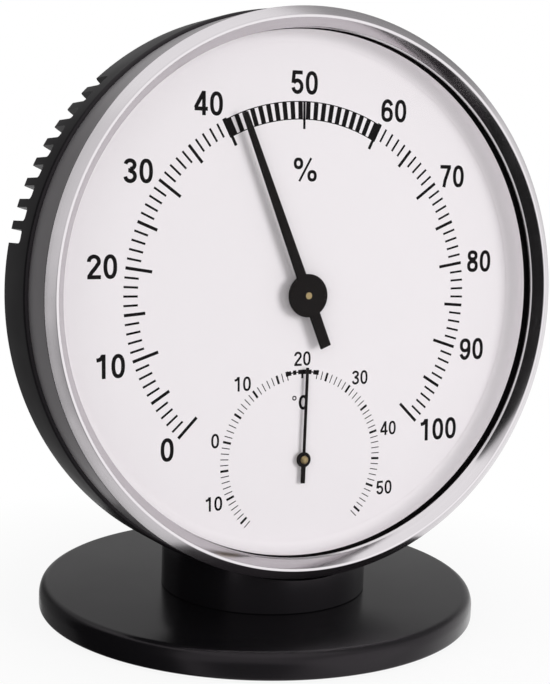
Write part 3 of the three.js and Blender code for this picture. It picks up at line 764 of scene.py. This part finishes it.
# Turned finishes: colour, lowest and highest roughness, spacing and height of the rings in millimetres
TURNED_FINISHES = {
    # Stainless steel turned and brushed round: grey, with streaks of light across the rings
    "turned_steel_satin": ("steel", (0.20, 0.26), 0.10, 0.0012),
    # The same steel brushed coarsely round its wall: an even grey that mirrors nothing sharply
    "turned_steel_brushed": ("steel", (0.40, 0.46), 0.14, 0.0012),
    # The same steel polished on a wheel: a mirror with the faintest rings
    "turned_steel_polished": ("steel", (0.09, 0.12), 0.16, 0.0002),
    # Turned brass: yellow with fine rings
    "turned_brass": ("brass", (0.36, 0.46), 0.08, 0.001),
}

# Faint pink in the reflections of the black plastic
ABS_TINT = linear("#fff3fc")

# Grained finishes: colour, share by which the tone varies, lowest and highest roughness, sizes of grain
# and patch and height of the grain in millimetres, the shader's own sockets, stretch of the pattern
GRAINED_FINISHES = {
    # ABS from a spark-eroded mould: near black, an even satin with a fine grain
    "moulded_abs_black": ("plastic", 0.12, (0.38, 0.46), 0.28, 14.0, 0.006,
                          {"IOR": 1.54, "Specular IOR Level": 0.25, "Specular Tint": ABS_TINT}),
    # ABS from a smoother mould: the flat foot shows a soft reflection of the pillar
    "moulded_abs_foot": ("plastic", 0.12, (0.20, 0.26), 0.35, 18.0, 0.002,
                         {"IOR": 1.54, "Specular IOR Level": 0.22, "Specular Tint": ABS_TINT}),
    # Matt black on the bezel's inside and the spacer's front: painted shade for the dark gap round the
    # lens's edge
    "sprayed_black_inside": ("ink", 0.10, (0.70, 0.80), 0.20, 4.0, 0.004,
                             {"IOR": 1.5, "Specular IOR Level": 0.10}),
    # Clear cast acrylic, hard coated against glare: hardly any colour, the faintest sheen over the dial
    "clear_acrylic_lens": ("lens", 0.05, (0.02, 0.04), 4.0, 30.0, 0.0,
                           {"Alpha": 0.04, "IOR": 1.49, "Specular IOR Level": 0.06}),
    # Aluminium sheet under silver white lacquer: matt and even, with a very fine sparkle
    "lacquered_aluminium_dial": ("dial", 0.012, (0.42, 0.50), 0.12, 16.0, 0.0006, {"IOR": 1.5}),
    # Screen printed black ink: flat and matt, slightly thinner in patches
    "screen_printed_ink": ("ink", 0.10, (0.55, 0.65), 0.15, 3.0, 0.002,
                           {"IOR": 1.5, "Specular IOR Level": 0.08}),
    # Stamped aluminium sprayed matt black: a soft light along its edges
    "lacquered_pointer_black": ("pointer", 0.10, (0.44, 0.52), 0.10, 5.0, 0.002,
                                {"IOR": 1.5, "Specular IOR Level": 0.09}),
    # Rolled brass and nickel steel: a dull straw yellow drawn out along the strip
    "bimetal_strip": ("bimetal", 0.10, (0.30, 0.42), 0.10, 2.0, 0.002, {"Metallic": 1.0}, (1, 6, 1)),
    # Spring steel blued by heat: dark blue that runs to grey
    "blued_spring_steel": ("spring", 0.15, (0.22, 0.32), 0.10, 2.0, 0.001, {"Metallic": 1.0}),
    # Zinc plated steel: cool grey with a slight cloud
    "zinc_plated_steel": ("zinc", 0.08, (0.28, 0.40), 0.20, 6.0, 0.002, {"Metallic": 1.0}),
    # Moulded rubber: matt black with a coarse grain
    "moulded_rubber_black": ("rubber", 0.12, (0.80, 0.90), 0.5, 8.0, 0.02, {"IOR": 1.52}),
    # A bundle of degreased hair, drawn coarser than it is so that it shows: pale, streaked along its length
    "bundled_hair": ("hair", 0.15, (0.60, 0.75), 0.12, 1.0, 0.02, {"IOR": 1.55}, (1, 1, 0.05)),
}


def finish(name):
    """The finish of that name, made the first time that it is asked for."""
    if name not in bpy.data.materials:
        is_turned = name in TURNED_FINISHES
        base, *values = TURNED_FINISHES[name] if is_turned else GRAINED_FINISHES[name]
        make = turned_finish if is_turned else grained_finish
        make(name, getattr(bpy.context.scene.hygrometer_colours, base), *values)
    return bpy.data.materials[name]


# Operators

class HYGROMETER_OT_case(bpy.types.Operator):
    """Adds the case moulding with its two groups of vent slots."""

    bl_idname = "hygrometer.case"
    bl_label = "Case"

    def execute(self, context):
        s = context.scene.hygrometer_sizes
        neck = bezel_radius(s) - s.bezel_wall - s.seat_gap
        outer = bezel_radius(s) + s.case_step
        inside_front = s.case_shoulder + s.case_wall
        inside_back = s.case_back - s.case_wall
        profile = [
            (neck - s.case_wall, s.case_front), (neck, s.case_front), (neck, s.case_shoulder),
            (outer, s.case_shoulder), (outer, s.case_back), (s.opening_radius, s.case_back),
            (s.opening_radius, inside_back), (outer - s.case_wall, inside_back),
            (outer - s.case_wall, inside_front), (neck - s.case_wall, inside_front),
        ]
        case = new_piece("case_moulding", turned(softened(profile, s.case_corner)), head_place(s),
                         "moulded_abs_black")
        carve(case, self.slots(s, outer))
        carve(case, self.adjuster_hole(s))
        settle(case, "stand", "black_plastic", "case_shell")
        return {"FINISHED"}

    def slots(self, s, outer):
        """Blades for the vent slots: open to the back, round in their front corners."""
        half = s.slot_width / 2
        corner = s.case_corner
        front = s.case_back - s.slot_length + corner
        outline = [(half, s.case_back + s.case_wall), (-half, s.case_back + s.case_wall)]
        outline += arc(corner - half, front, corner, corner, 180, 270, CORNER_STEPS)
        outline += arc(half - corner, front, corner, corner, 270, 360, CORNER_STEPS)
        step = (s.slot_width + s.slot_tooth) / outer
        blades = bmesh.new()
        for side in (-1, 1):
            for i in range(s.slot_count):
                turn = side * (s.slot_middle + (i - (s.slot_count - 1) / 2) * step)
                spin = Matrix.Rotation(turn, 3, "Y")
                rows = []
                for radius in (outer - s.slot_inward, outer + s.case_wall):
                    rows.append([blades.verts.new(spin @ Vector((x, y, radius))) for x, y in outline])
                    blades.faces.new(rows[-1])
                add_wall(blades, *rows)
        return blades

    def adjuster_hole(self, s):
        """A rod through the back wall where the adjuster comes out."""
        hole = rod(s.adjuster_radius + s.seat_gap, s.case_back - 2 * s.case_wall, s.case_back + s.case_wall)
        bmesh.ops.translate(hole, vec=(s.adjuster_x, 0, s.adjuster_z), verts=hole.verts)
        return hole


class HYGROMETER_OT_cover(bpy.types.Operator):
    """Adds the round cover on the back of the case."""

    bl_idname = "hygrometer.cover"
    bl_label = "Rear cover"

    def execute(self, context):
        s = context.scene.hygrometer_sizes
        front = s.case_back + s.seat_gap
        back = front + s.cover_depth
        inner = s.cover_radius - s.case_wall
        profile = [
            (0, back - s.case_wall), (inner, back - s.case_wall), (inner, front), (s.cover_radius, front),
            (s.cover_radius, back), (0, back),
        ]
        cover = new_piece("rear_cover_moulding", turned(softened(profile, s.case_corner)), head_place(s),
                          "moulded_abs_black")
        settle(cover, "stand", "black_plastic", "rear_cover")
        return {"FINISHED"}


class HYGROMETER_OT_bezel(bpy.types.Operator):
    """Adds the bezel ring: brushed wall, satin chamfer, bright rim and polished slope, with black painted
    shade inside round the lens.
    """

    bl_idname = "hygrometer.bezel"
    bl_label = "Bezel"

    def execute(self, context):
        s = context.scene.hygrometer_sizes
        radius = bezel_radius(s)
        rim_inner = s.sight_radius + s.slope_width
        rim_outer = rim_inner + s.rim_width
        bore = radius - s.bezel_wall
        slope_end = s.slope_depth * (1 - s.lip_width / s.slope_width)
        lip_end = slope_end + s.lip_depth
        profile = [
            (rim_inner, 0), (rim_outer, 0), (radius, s.chamfer_depth), (radius, s.bezel_depth),
            (bore, s.bezel_depth), (bore, s.lens_shoulder), (s.sight_radius, s.lens_shoulder),
            (s.sight_radius, lip_end), (s.sight_radius + s.lip_width, slope_end),
        ]
        finishes = ("turned_steel_satin", "turned_steel_polished", "sprayed_black_inside",
                    "turned_steel_brushed")
        bezel = new_piece("bezel_turning", turned(softened(profile, s.bezel_edge)), head_place(s), *finishes)
        for face in bezel.data.polygons:
            out = math.hypot(face.center.x, face.center.z)
            behind_lip = face.center.y > lip_end
            if out < rim_outer and not behind_lip:
                face.material_index = finishes.index("turned_steel_polished")
            # Black on the bore, the shoulder and the land behind the lip is painted shade round the lens
            elif out < bore + FACE_MARGIN and behind_lip:
                face.material_index = finishes.index("sprayed_black_inside")
            elif face.center.y > s.chamfer_depth:
                face.material_index = finishes.index("turned_steel_brushed")
        settle(bezel, "stand", "bezel_steel", "bezel_ring")
        return {"FINISHED"}


class HYGROMETER_OT_spacer(bpy.types.Operator):
    """Adds the ring between lens and dial: silver inside with a cove, black painted shade where the lens
    lies on it.
    """

    bl_idname = "hygrometer.spacer"
    bl_label = "Spacer"

    def execute(self, context):
        s = context.scene.hygrometer_sizes
        outer = bezel_radius(s) - s.bezel_wall - s.seat_gap
        front = s.lens_back + s.seat_gap
        back = s.dial_front - s.ink_height
        cove = arc(s.sight_radius - s.cove_width, back - s.ink_height - s.cove_depth, s.cove_width,
                   s.cove_depth, 90, 0)
        profile = [(s.sight_radius, front), (outer, front), (outer, back), (cove[0][0], back), *cove]
        finishes = ("lacquered_aluminium_dial", "sprayed_black_inside")
        spacer = new_piece("spacer_strip", turned(profile), head_place(s), *finishes)
        for face in spacer.data.polygons:
            # Black on the spacer's front and outer faces is painted shade round the lens's edge
            if math.hypot(face.center.x, face.center.z) > s.sight_radius + FACE_MARGIN:
                face.material_index = finishes.index("sprayed_black_inside")
        settle(spacer, "stand", "dial_aluminium", "spacer_ring")
        return {"FINISHED"}


class HYGROMETER_OT_humidity_scale(bpy.types.Operator):
    """Prints the humidity scale: ticks, the barred band from 40 to 60, figures and the percent sign."""

    bl_idname = "hygrometer.humidity_scale"
    bl_label = "Humidity scale"

    def execute(self, context):
        s = context.scene.hygrometer_sizes
        depths = print_depths(s)
        low, high = HUMIDITY_BAND

        ticks = bmesh.new()
        for value in from_to(HUMIDITY_ENDS):
            if low < value < high and value != HUMIDITY_TOP:
                continue
            reach = s.tick_ten if value % 10 == 0 else s.tick_five if value % 5 == 0 else s.tick_one
            pen = s.tick_bold if value % 5 == 0 else s.tick_thin
            if value == HUMIDITY_TOP:
                pen = (s.tick_bold + s.tick_thin) / 2
            add_tick(ticks, self.bearing(value), s.tick_outer, reach, pen, depths)
        add_band(ticks, self.bearing, HUMIDITY_BAND, s.tick_outer, s.band_width, HUMIDITY_BAR,
                 s.band_end, s.band_end_out, depths)
        for inset in (s.band_line_inset, s.band_width - s.band_line_inset):
            add_band_line(ticks, self.bearing, HUMIDITY_BAND, s.tick_outer - inset, s.band_line, 2, depths)
        settle_print("humidity_ticks", ticks, head_place(s))

        figures = scale_figures(HUMIDITY_FIGURES, self.bearing, s.tick_outer + s.figure_gap,
                                s.figure_height, FIGURE_PEN, depths)
        self.add_percent(figures, s, depths)
        settle_print("humidity_figures", figures, head_place(s))
        return {"FINISHED"}

    def bearing(self, value):
        """Bearing of a humidity in percent, 50 at the top."""
        return math.radians(HUMIDITY_DEGREES * (value - HUMIDITY_TOP))

    def add_percent(self, shape, s, depths):
        """Adds the percent sign: two rings with a slash between them."""
        size = s.figure_height
        aside, above = (share * size for share in PERCENT_RING_PLACE)
        across, up = (share * size for share in PERCENT_RING)
        for side in (-1, 1):
            ring = oval(s.percent_across + side * aside, s.percent_up - side * above, across, up)
            add_stroke(shape, ring, PERCENT_RING_PEN * size, True, depths)
        slash = [(s.percent_across + side * PERCENT_SLASH * size, s.percent_up + side * size / 2)
                 for side in (-1, 1)]
        add_stroke(shape, slash, PERCENT_SLASH_PEN * size, False, depths)


class HYGROMETER_OT_thermometer_scale(bpy.types.Operator):
    """Prints the thermometer scale: ticks, the barred band from 17 to 23, figures and the unit."""

    bl_idname = "hygrometer.thermometer_scale"
    bl_label = "Thermometer scale"

    def execute(self, context):
        s = context.scene.hygrometer_sizes
        place = head_place(s) @ Matrix.Translation((0, 0, -s.thermo_drop))
        depths = print_depths(s)
        low, high = TEMPERATURE_BAND

        ticks = bmesh.new()
        for value in from_to(TEMPERATURE_ENDS):
            if low < value < high and value != TEMPERATURE_TOP:
                continue
            pen = s.small_bold if value % 5 == 0 else s.small_thin
            add_tick(ticks, self.bearing(value), s.small_tick_outer, s.small_tick, pen, depths)
        add_band(ticks, self.bearing, TEMPERATURE_BAND, s.small_tick_outer, s.small_band, TEMPERATURE_BAR,
                 s.small_band_end, s.small_band_end_out, depths)
        add_band_line(ticks, self.bearing, TEMPERATURE_BAND, s.small_tick_outer - s.small_band / 2,
                      s.small_band_line, 4, depths)
        settle_print("thermometer_ticks", ticks, place)

        figures = scale_figures(TEMPERATURE_FIGURES, self.bearing, s.small_tick_outer + s.small_gap,
                                s.small_figure, SMALL_FIGURE_PEN, depths)
        self.add_unit(figures, s, depths)
        settle_print("thermometer_figures", figures, place)
        return {"FINISHED"}

    def bearing(self, value):
        """Bearing of a temperature in degrees, 20 at the top."""
        return math.radians(TEMPERATURE_DEGREES * (value - TEMPERATURE_TOP))

    def add_unit(self, shape, s, depths):
        """Adds the unit: its letter and the degree ring."""
        centre = Vector((s.unit_across, s.thermo_drop - s.unit_down))
        for line, closed in figure_strokes("C", UNIT_WIDTH, UNIT_PEN):
            points = [centre + Vector((x - UNIT_WIDTH / 2, y - 0.5)) * s.unit_height for x, y in line]
            add_stroke(shape, points, UNIT_PEN * s.unit_height, closed, depths)
        ring = oval(s.degree_across, s.thermo_drop - s.degree_down, s.degree_radius, s.degree_radius,
                    DEGREE_STEPS)
        add_stroke(shape, ring, s.degree_pen, True, depths)


class HYGROMETER_OT_pointers(bpy.types.Operator):
    """Adds both pointers and the brass rivet of the thermometer pointer."""

    bl_idname = "hygrometer.pointers"
    bl_label = "Pointers"

    def execute(self, context):
        s = context.scene.hygrometer_sizes
        hygro_place = head_place(s) @ Matrix.Rotation(s.hygro_rest, 4, "Y")
        outline = pointer_outline(s.hygro_hub, s.hygro_root, s.hygro_tip, s.hygro_length, s.hygro_tail,
                                  s.hygro_tail_width)
        shape = plate(outline, s.hygro_front, s.hygro_thickness, s.hygro_bevel)
        pointer = new_piece("humidity_pointer", shape, hygro_place, "lacquered_pointer_black")
        settle(pointer, "hygro_needle", "pointer_black", "hygro_pointer")

        thermo_place = (head_place(s) @ Matrix.Translation((0, 0, -s.thermo_drop))
                        @ Matrix.Rotation(s.thermo_rest, 4, "Y"))
        outline = pointer_outline(s.thermo_eye, s.thermo_tip, s.thermo_tip, s.thermo_length, s.thermo_tail,
                                  s.thermo_tail_width)
        shape = plate(outline, s.thermo_front, s.thermo_thickness, s.thermo_bevel)
        pointer = new_piece("thermometer_pointer", shape, thermo_place, "lacquered_pointer_black")
        settle(pointer, "thermo_needle", "pointer_black", "thermo_pointer")

        hub_back = s.thermo_front - s.thermo_hub_gap
        turns = [math.pi / 2 * i / DOME_STEPS for i in range(DOME_STEPS + 1)]
        dome = [(s.thermo_hub * math.sin(t), hub_back - s.thermo_hub_height * math.cos(t)) for t in turns]
        hub = new_piece("thermometer_rivet", turned(dome + [(0, hub_back)], SMALL_TURN), thermo_place,
                        "turned_brass")
        settle(hub, "thermo_needle", "movement_brass", "thermo_hub")
        return {"FINISHED"}


class HYGROMETER_OT_foot(bpy.types.Operator):
    """Adds the foot disc, the pillar with its saddle and the rubber ring."""

    bl_idname = "hygrometer.foot"
    bl_label = "Foot"

    def execute(self, context):
        s = context.scene.hygrometer_sizes
        level = Matrix.Identity(4)
        bend_in, bend_down = FOOT_EDGE_BEND
        groove_in = s.pad_inner - s.seat_gap
        groove_out = s.pad_outer + s.seat_gap
        hollow_top = s.foot_top - s.foot_web
        profile = [
            (0, hollow_top), (s.hollow_radius, hollow_top), (s.hollow_radius, s.foot_base),
            (groove_in, s.foot_base), (groove_in, s.pad_thickness), (groove_out, s.pad_thickness),
            (groove_out, s.foot_base), (s.foot_radius, s.foot_base),
            (s.foot_radius, s.foot_top - s.foot_edge_drop),
            (s.foot_radius - bend_in * s.foot_edge_width, s.foot_top - bend_down * s.foot_edge_drop),
            (s.foot_radius - s.foot_edge_width, s.foot_top), (0, s.foot_top),
        ]
        foot = new_piece("foot_moulding", upright(turned(softened(profile, s.foot_corner))), level,
                         "moulded_abs_foot")
        carve(foot, self.screw_hole(s))
        settle(foot, "stand", "black_plastic", "foot_disc")

        top = s.head_height
        profile = [
            (0, s.foot_top), (s.pillar_radius - s.pillar_edge, s.foot_top),
            (s.pillar_radius, s.foot_top + s.pillar_edge), (s.pillar_radius, top), (0, top),
        ]
        drum = upright(turned(profile))
        bmesh.ops.translate(drum, vec=(0, -s.pillar_forward, 0), verts=drum.verts)
        pillar = new_piece("pillar_moulding", drum, level, "moulded_abs_foot")
        carve(pillar, self.saddle(s))
        carve(pillar, self.screw_hole(s))
        settle(pillar, "stand", "black_plastic", "foot_pillar")

        profile = [
            (s.pad_inner, 0), (s.pad_outer, 0), (s.pad_outer, s.pad_thickness),
            (s.pad_inner, s.pad_thickness),
        ]
        pad = new_piece("pad_ring", upright(turned(softened(profile, s.pad_corner))), level,
                        "moulded_rubber_black")
        settle(pad, "stand", "pad_rubber", "foot_pad")
        return {"FINISHED"}

    def screw_hole(self, s):
        """A rod up through foot and pillar for the stand screw."""
        hole = upright(rod(s.screw_radius, 0, s.head_height))
        bmesh.ops.translate(hole, vec=(0, s.screw_back, 0), verts=hole.verts)
        return hole

    def saddle(self, s):
        """A long rod of the case's radius along the head's axis."""
        reach = 2 * s.foot_radius
        body = rod(bezel_radius(s) + s.case_step + s.seat_gap, -reach, reach, FINE_TURN)
        bmesh.ops.transform(body, matrix=head_place(s), verts=body.verts)
        return body


class HYGROMETER_OT_movement(bpy.types.Operator):
    """Gives the lens, the dial plate and the movement their finishes."""

    bl_idname = "hygrometer.movement"
    bl_label = "Movement"

    def execute(self, context):
        groups = {
            "clear_acrylic_lens": ["lens"],
            "lacquered_aluminium_dial": ["dial_plate"],
            "turned_brass": [
                "movement_plate", "movement_bridge", "hygro_bush", "thermo_bush", "hygro_arbor",
                "hygro_collet", "hygro_drum", "hair_spring_collet", "thermo_arbor", "bimetal_collet",
                "bimetal_stud", "hair_spring_stud", "hair_lever", "adjust_arm",
                *(f"dial_post_{i}" for i in (1, 2, 3)), *(f"bridge_post_{i}" for i in (1, 2, 3)),
            ],
            "bimetal_strip": ["bimetal_spiral"],
            "blued_spring_steel": ["hair_spring"],
            "zinc_plated_steel": ["foot_ballast", "stand_screw", "lever_pin", "adjust_screw"],
            "bundled_hair": ["hair_bundle", "pull_thread"],
        }
        for name, nodes in groups.items():
            for node in nodes:
                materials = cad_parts[node].data.materials
                materials.clear()
                materials.append(finish(name))
        return {"FINISHED"}


class HYGROMETER_OT_stage(bpy.types.Operator):
    """Adds the white table, the studio light and the camera."""

    bl_idname = "hygrometer.stage"
    bl_label = "Stage"

    def execute(self, context):
        self.table(context)
        self.surround(context)
        for softbox in SOFTBOXES:
            self.lamp(context, *softbox)
        self.camera(context)
        context.scene.view_settings.view_transform = "Standard"
        return {"FINISHED"}

    def table(self, context):
        """A white table that stays white to the eye and keeps a soft shadow of the object."""
        shape = bmesh.new()
        bmesh.ops.create_circle(shape, cap_ends=True, segments=FINE_TURN, radius=TABLE_RADIUS)
        mesh = bpy.data.meshes.new("table_top")
        shape.to_mesh(mesh)
        shape.free()
        table = bpy.data.objects.new("table_top", mesh)
        table.location.z = -TABLE_DROP
        context.scene.collection.objects.link(table)
        material = bpy.data.materials.new("white_laminate")
        tree = empty_tree(material)
        ray = add_node(tree, "ShaderNodeLightPath")
        seen = add_node(tree, "ShaderNodeMath", {"operation": "ADD", "use_clamp": True},
                        {0: (ray, "Is Camera Ray"), 1: (ray, "Is Transmission Ray")})
        place = add_node(tree, "ShaderNodeTexCoord")
        away = add_node(tree, "ShaderNodeVectorMath", {"operation": "LENGTH"}, {0: (place, "Object")})
        plainness = add_node(tree, "ShaderNodeMapRange",
                             {"From Min": SHADOW_FADE[0], "From Max": SHADOW_FADE[1],
                              "To Min": SHADOW_WHITENESS, "To Max": 1.0},
                             {"Value": (away, "Value")})
        share = add_node(tree, "ShaderNodeMath", {"operation": "MULTIPLY"},
                         {0: (seen, "Value"), 1: (plainness, "Result")})
        plain = add_node(tree, "ShaderNodeBsdfDiffuse", {"Color": context.scene.hygrometer_colours.floor})
        white = add_node(tree, "ShaderNodeEmission", {"Color": linear("#ffffff"), "Strength": 1.0})
        mixed = add_node(tree, "ShaderNodeMixShader", None,
                         {0: (share, "Value"), 1: (plain, "BSDF"), 2: (white, "Emission")})
        add_node(tree, "ShaderNodeOutputMaterial", None, {"Surface": (mixed, "Shader")})
        mesh.materials.append(material)
        table.visible_glossy = False

    def surround(self, context):
        """A white studio with a curtain and panels for the steel to mirror; diffuse light is plain."""
        world = bpy.data.worlds.new("studio")
        context.scene.world = world
        tree = empty_tree(world)
        ray = add_node(tree, "ShaderNodeLightPath")
        place = add_node(tree, "ShaderNodeTexCoord")
        panels = []
        for directions, start, full, shade_level in PANELS:
            facings = [add_node(tree, "ShaderNodeVectorMath",
                                {"operation": "DOT_PRODUCT", 1: Vector(direction).normalized()},
                                {0: (place, "Generated")})
                       for direction in directions]
            facing = facings[0]
            for other in facings[1:]:
                facing = add_node(tree, "ShaderNodeMath", {"operation": "MINIMUM"},
                                  {0: (facing, "Value"), 1: (other, "Value")})
            panels.append(add_node(tree, "ShaderNodeMapRange",
                                   {"interpolation_type": "SMOOTHSTEP",
                                    "From Min": math.cos(math.radians(start)),
                                    "From Max": math.cos(math.radians(full)),
                                    "To Min": 1.0, "To Max": shade_level},
                                   {"Value": (facing, "Value")}))
        level = panels[0]
        for panel in panels[1:]:
            level = add_node(tree, "ShaderNodeMath", {"operation": "MULTIPLY"},
                             {0: (panel, 0), 1: (level, 0)})
        seen = add_node(tree, "ShaderNodeMath", {"operation": "ADD", "use_clamp": True},
                        {0: (ray, "Is Glossy Ray"), 1: (ray, "Is Transmission Ray")})
        lit = add_node(tree, "ShaderNodeMix", {"data_type": "FLOAT", 2: AMBIENT},
                       {0: (seen, "Value"), 3: (level, 0)})
        strength = add_node(tree, "ShaderNodeMath", {"operation": "MAXIMUM"},
                            {0: (lit, 0), 1: (ray, "Is Camera Ray")})
        light = add_node(tree, "ShaderNodeBackground", {"Color": linear("#ffffff")},
                         {"Strength": (strength, "Value")})
        add_node(tree, "ShaderNodeOutputWorld", None, {"Surface": (light, "Background")})

    def lamp(self, context, name, place, size, power):
        """A square softbox at a place, turned toward the object and not mirrored in it."""
        data = bpy.data.lights.new(name, "AREA")
        data.size = size
        data.energy = power
        lamp = bpy.data.objects.new(name, data)
        lamp.location = place
        lamp.rotation_euler = (Vector(LIGHT_TARGET) - Vector(place)).to_track_quat("-Z", "Y").to_euler()
        lamp.visible_glossy = False
        context.scene.collection.objects.link(lamp)

    def camera(self, context):
        """The photograph's view."""
        level_out = math.cos(VIEW_ELEVATION)
        back = Vector((math.sin(VIEW_AZIMUTH) * level_out, -math.cos(VIEW_AZIMUTH) * level_out,
                       math.sin(VIEW_ELEVATION)))
        right = Vector((0, 0, 1)).cross(back).normalized()
        up = back.cross(right)
        tilted_right = right * math.cos(VIEW_ROLL) + up * math.sin(VIEW_ROLL)
        tilted_up = up * math.cos(VIEW_ROLL) - right * math.sin(VIEW_ROLL)
        data = bpy.data.cameras.new("view")
        data.sensor_width = FILM_WIDTH
        data.lens = FOCAL_PIXELS * FILM_WIDTH / PICTURE_HEIGHT
        data.clip_start = NEAREST_SEEN
        camera = bpy.data.objects.new("view", data)
        turn = Matrix((tilted_right, tilted_up, back)).transposed().to_4x4()
        camera.matrix_world = Matrix.Translation(VIEW_TARGET + back * VIEW_DISTANCE) @ turn
        context.scene.collection.objects.link(camera)
        context.scene.camera = camera


OPERATORS = (
    HYGROMETER_OT_case,
    HYGROMETER_OT_cover,
    HYGROMETER_OT_bezel,
    HYGROMETER_OT_spacer,
    HYGROMETER_OT_humidity_scale,
    HYGROMETER_OT_thermometer_scale,
    HYGROMETER_OT_pointers,
    HYGROMETER_OT_foot,
    HYGROMETER_OT_movement,
    HYGROMETER_OT_stage,
)


class VIEW3D_PT_hygrometer(bpy.types.Panel):
    """Lists the pieces of the hygrometer, its colours and its sizes."""

    bl_idname = "VIEW3D_PT_hygrometer"
    bl_label = "Hygrometer"
    bl_space_type = "VIEW_3D"
    bl_region_type = "UI"
    bl_category = "Hygrometer"

    def draw(self, context):
        column = self.layout.column()
        for operator in OPERATORS:
            column.operator(operator.bl_idname)
        for group in (context.scene.hygrometer_colours, context.scene.hygrometer_sizes):
            for name in group.__annotations__:
                column.prop(group, name)


CLASSES = (HygrometerSizes, HygrometerColours, *OPERATORS, VIEW3D_PT_hygrometer)


def register():
    """Registers the classes and hangs the settings on the scene."""
    for cls in CLASSES:
        bpy.utils.register_class(cls)
    bpy.types.Scene.hygrometer_sizes = PointerProperty(type=HygrometerSizes)
    bpy.types.Scene.hygrometer_colours = PointerProperty(type=HygrometerColours)


def unregister():
    """Takes the settings off the scene and the classes out again."""
    del bpy.types.Scene.hygrometer_colours
    del bpy.types.Scene.hygrometer_sizes
    for cls in reversed(CLASSES):
        bpy.utils.unregister_class(cls)


def main():
    """Builds every piece in order."""
    register()
    bpy.ops.hygrometer.case()
    bpy.ops.hygrometer.cover()
    bpy.ops.hygrometer.bezel()
    bpy.ops.hygrometer.spacer()
    bpy.ops.hygrometer.humidity_scale()
    bpy.ops.hygrometer.thermometer_scale()
    bpy.ops.hygrometer.pointers()
    bpy.ops.hygrometer.foot()
    bpy.ops.hygrometer.movement()
    bpy.ops.hygrometer.stage()


if __name__ == "__main__":
    main()
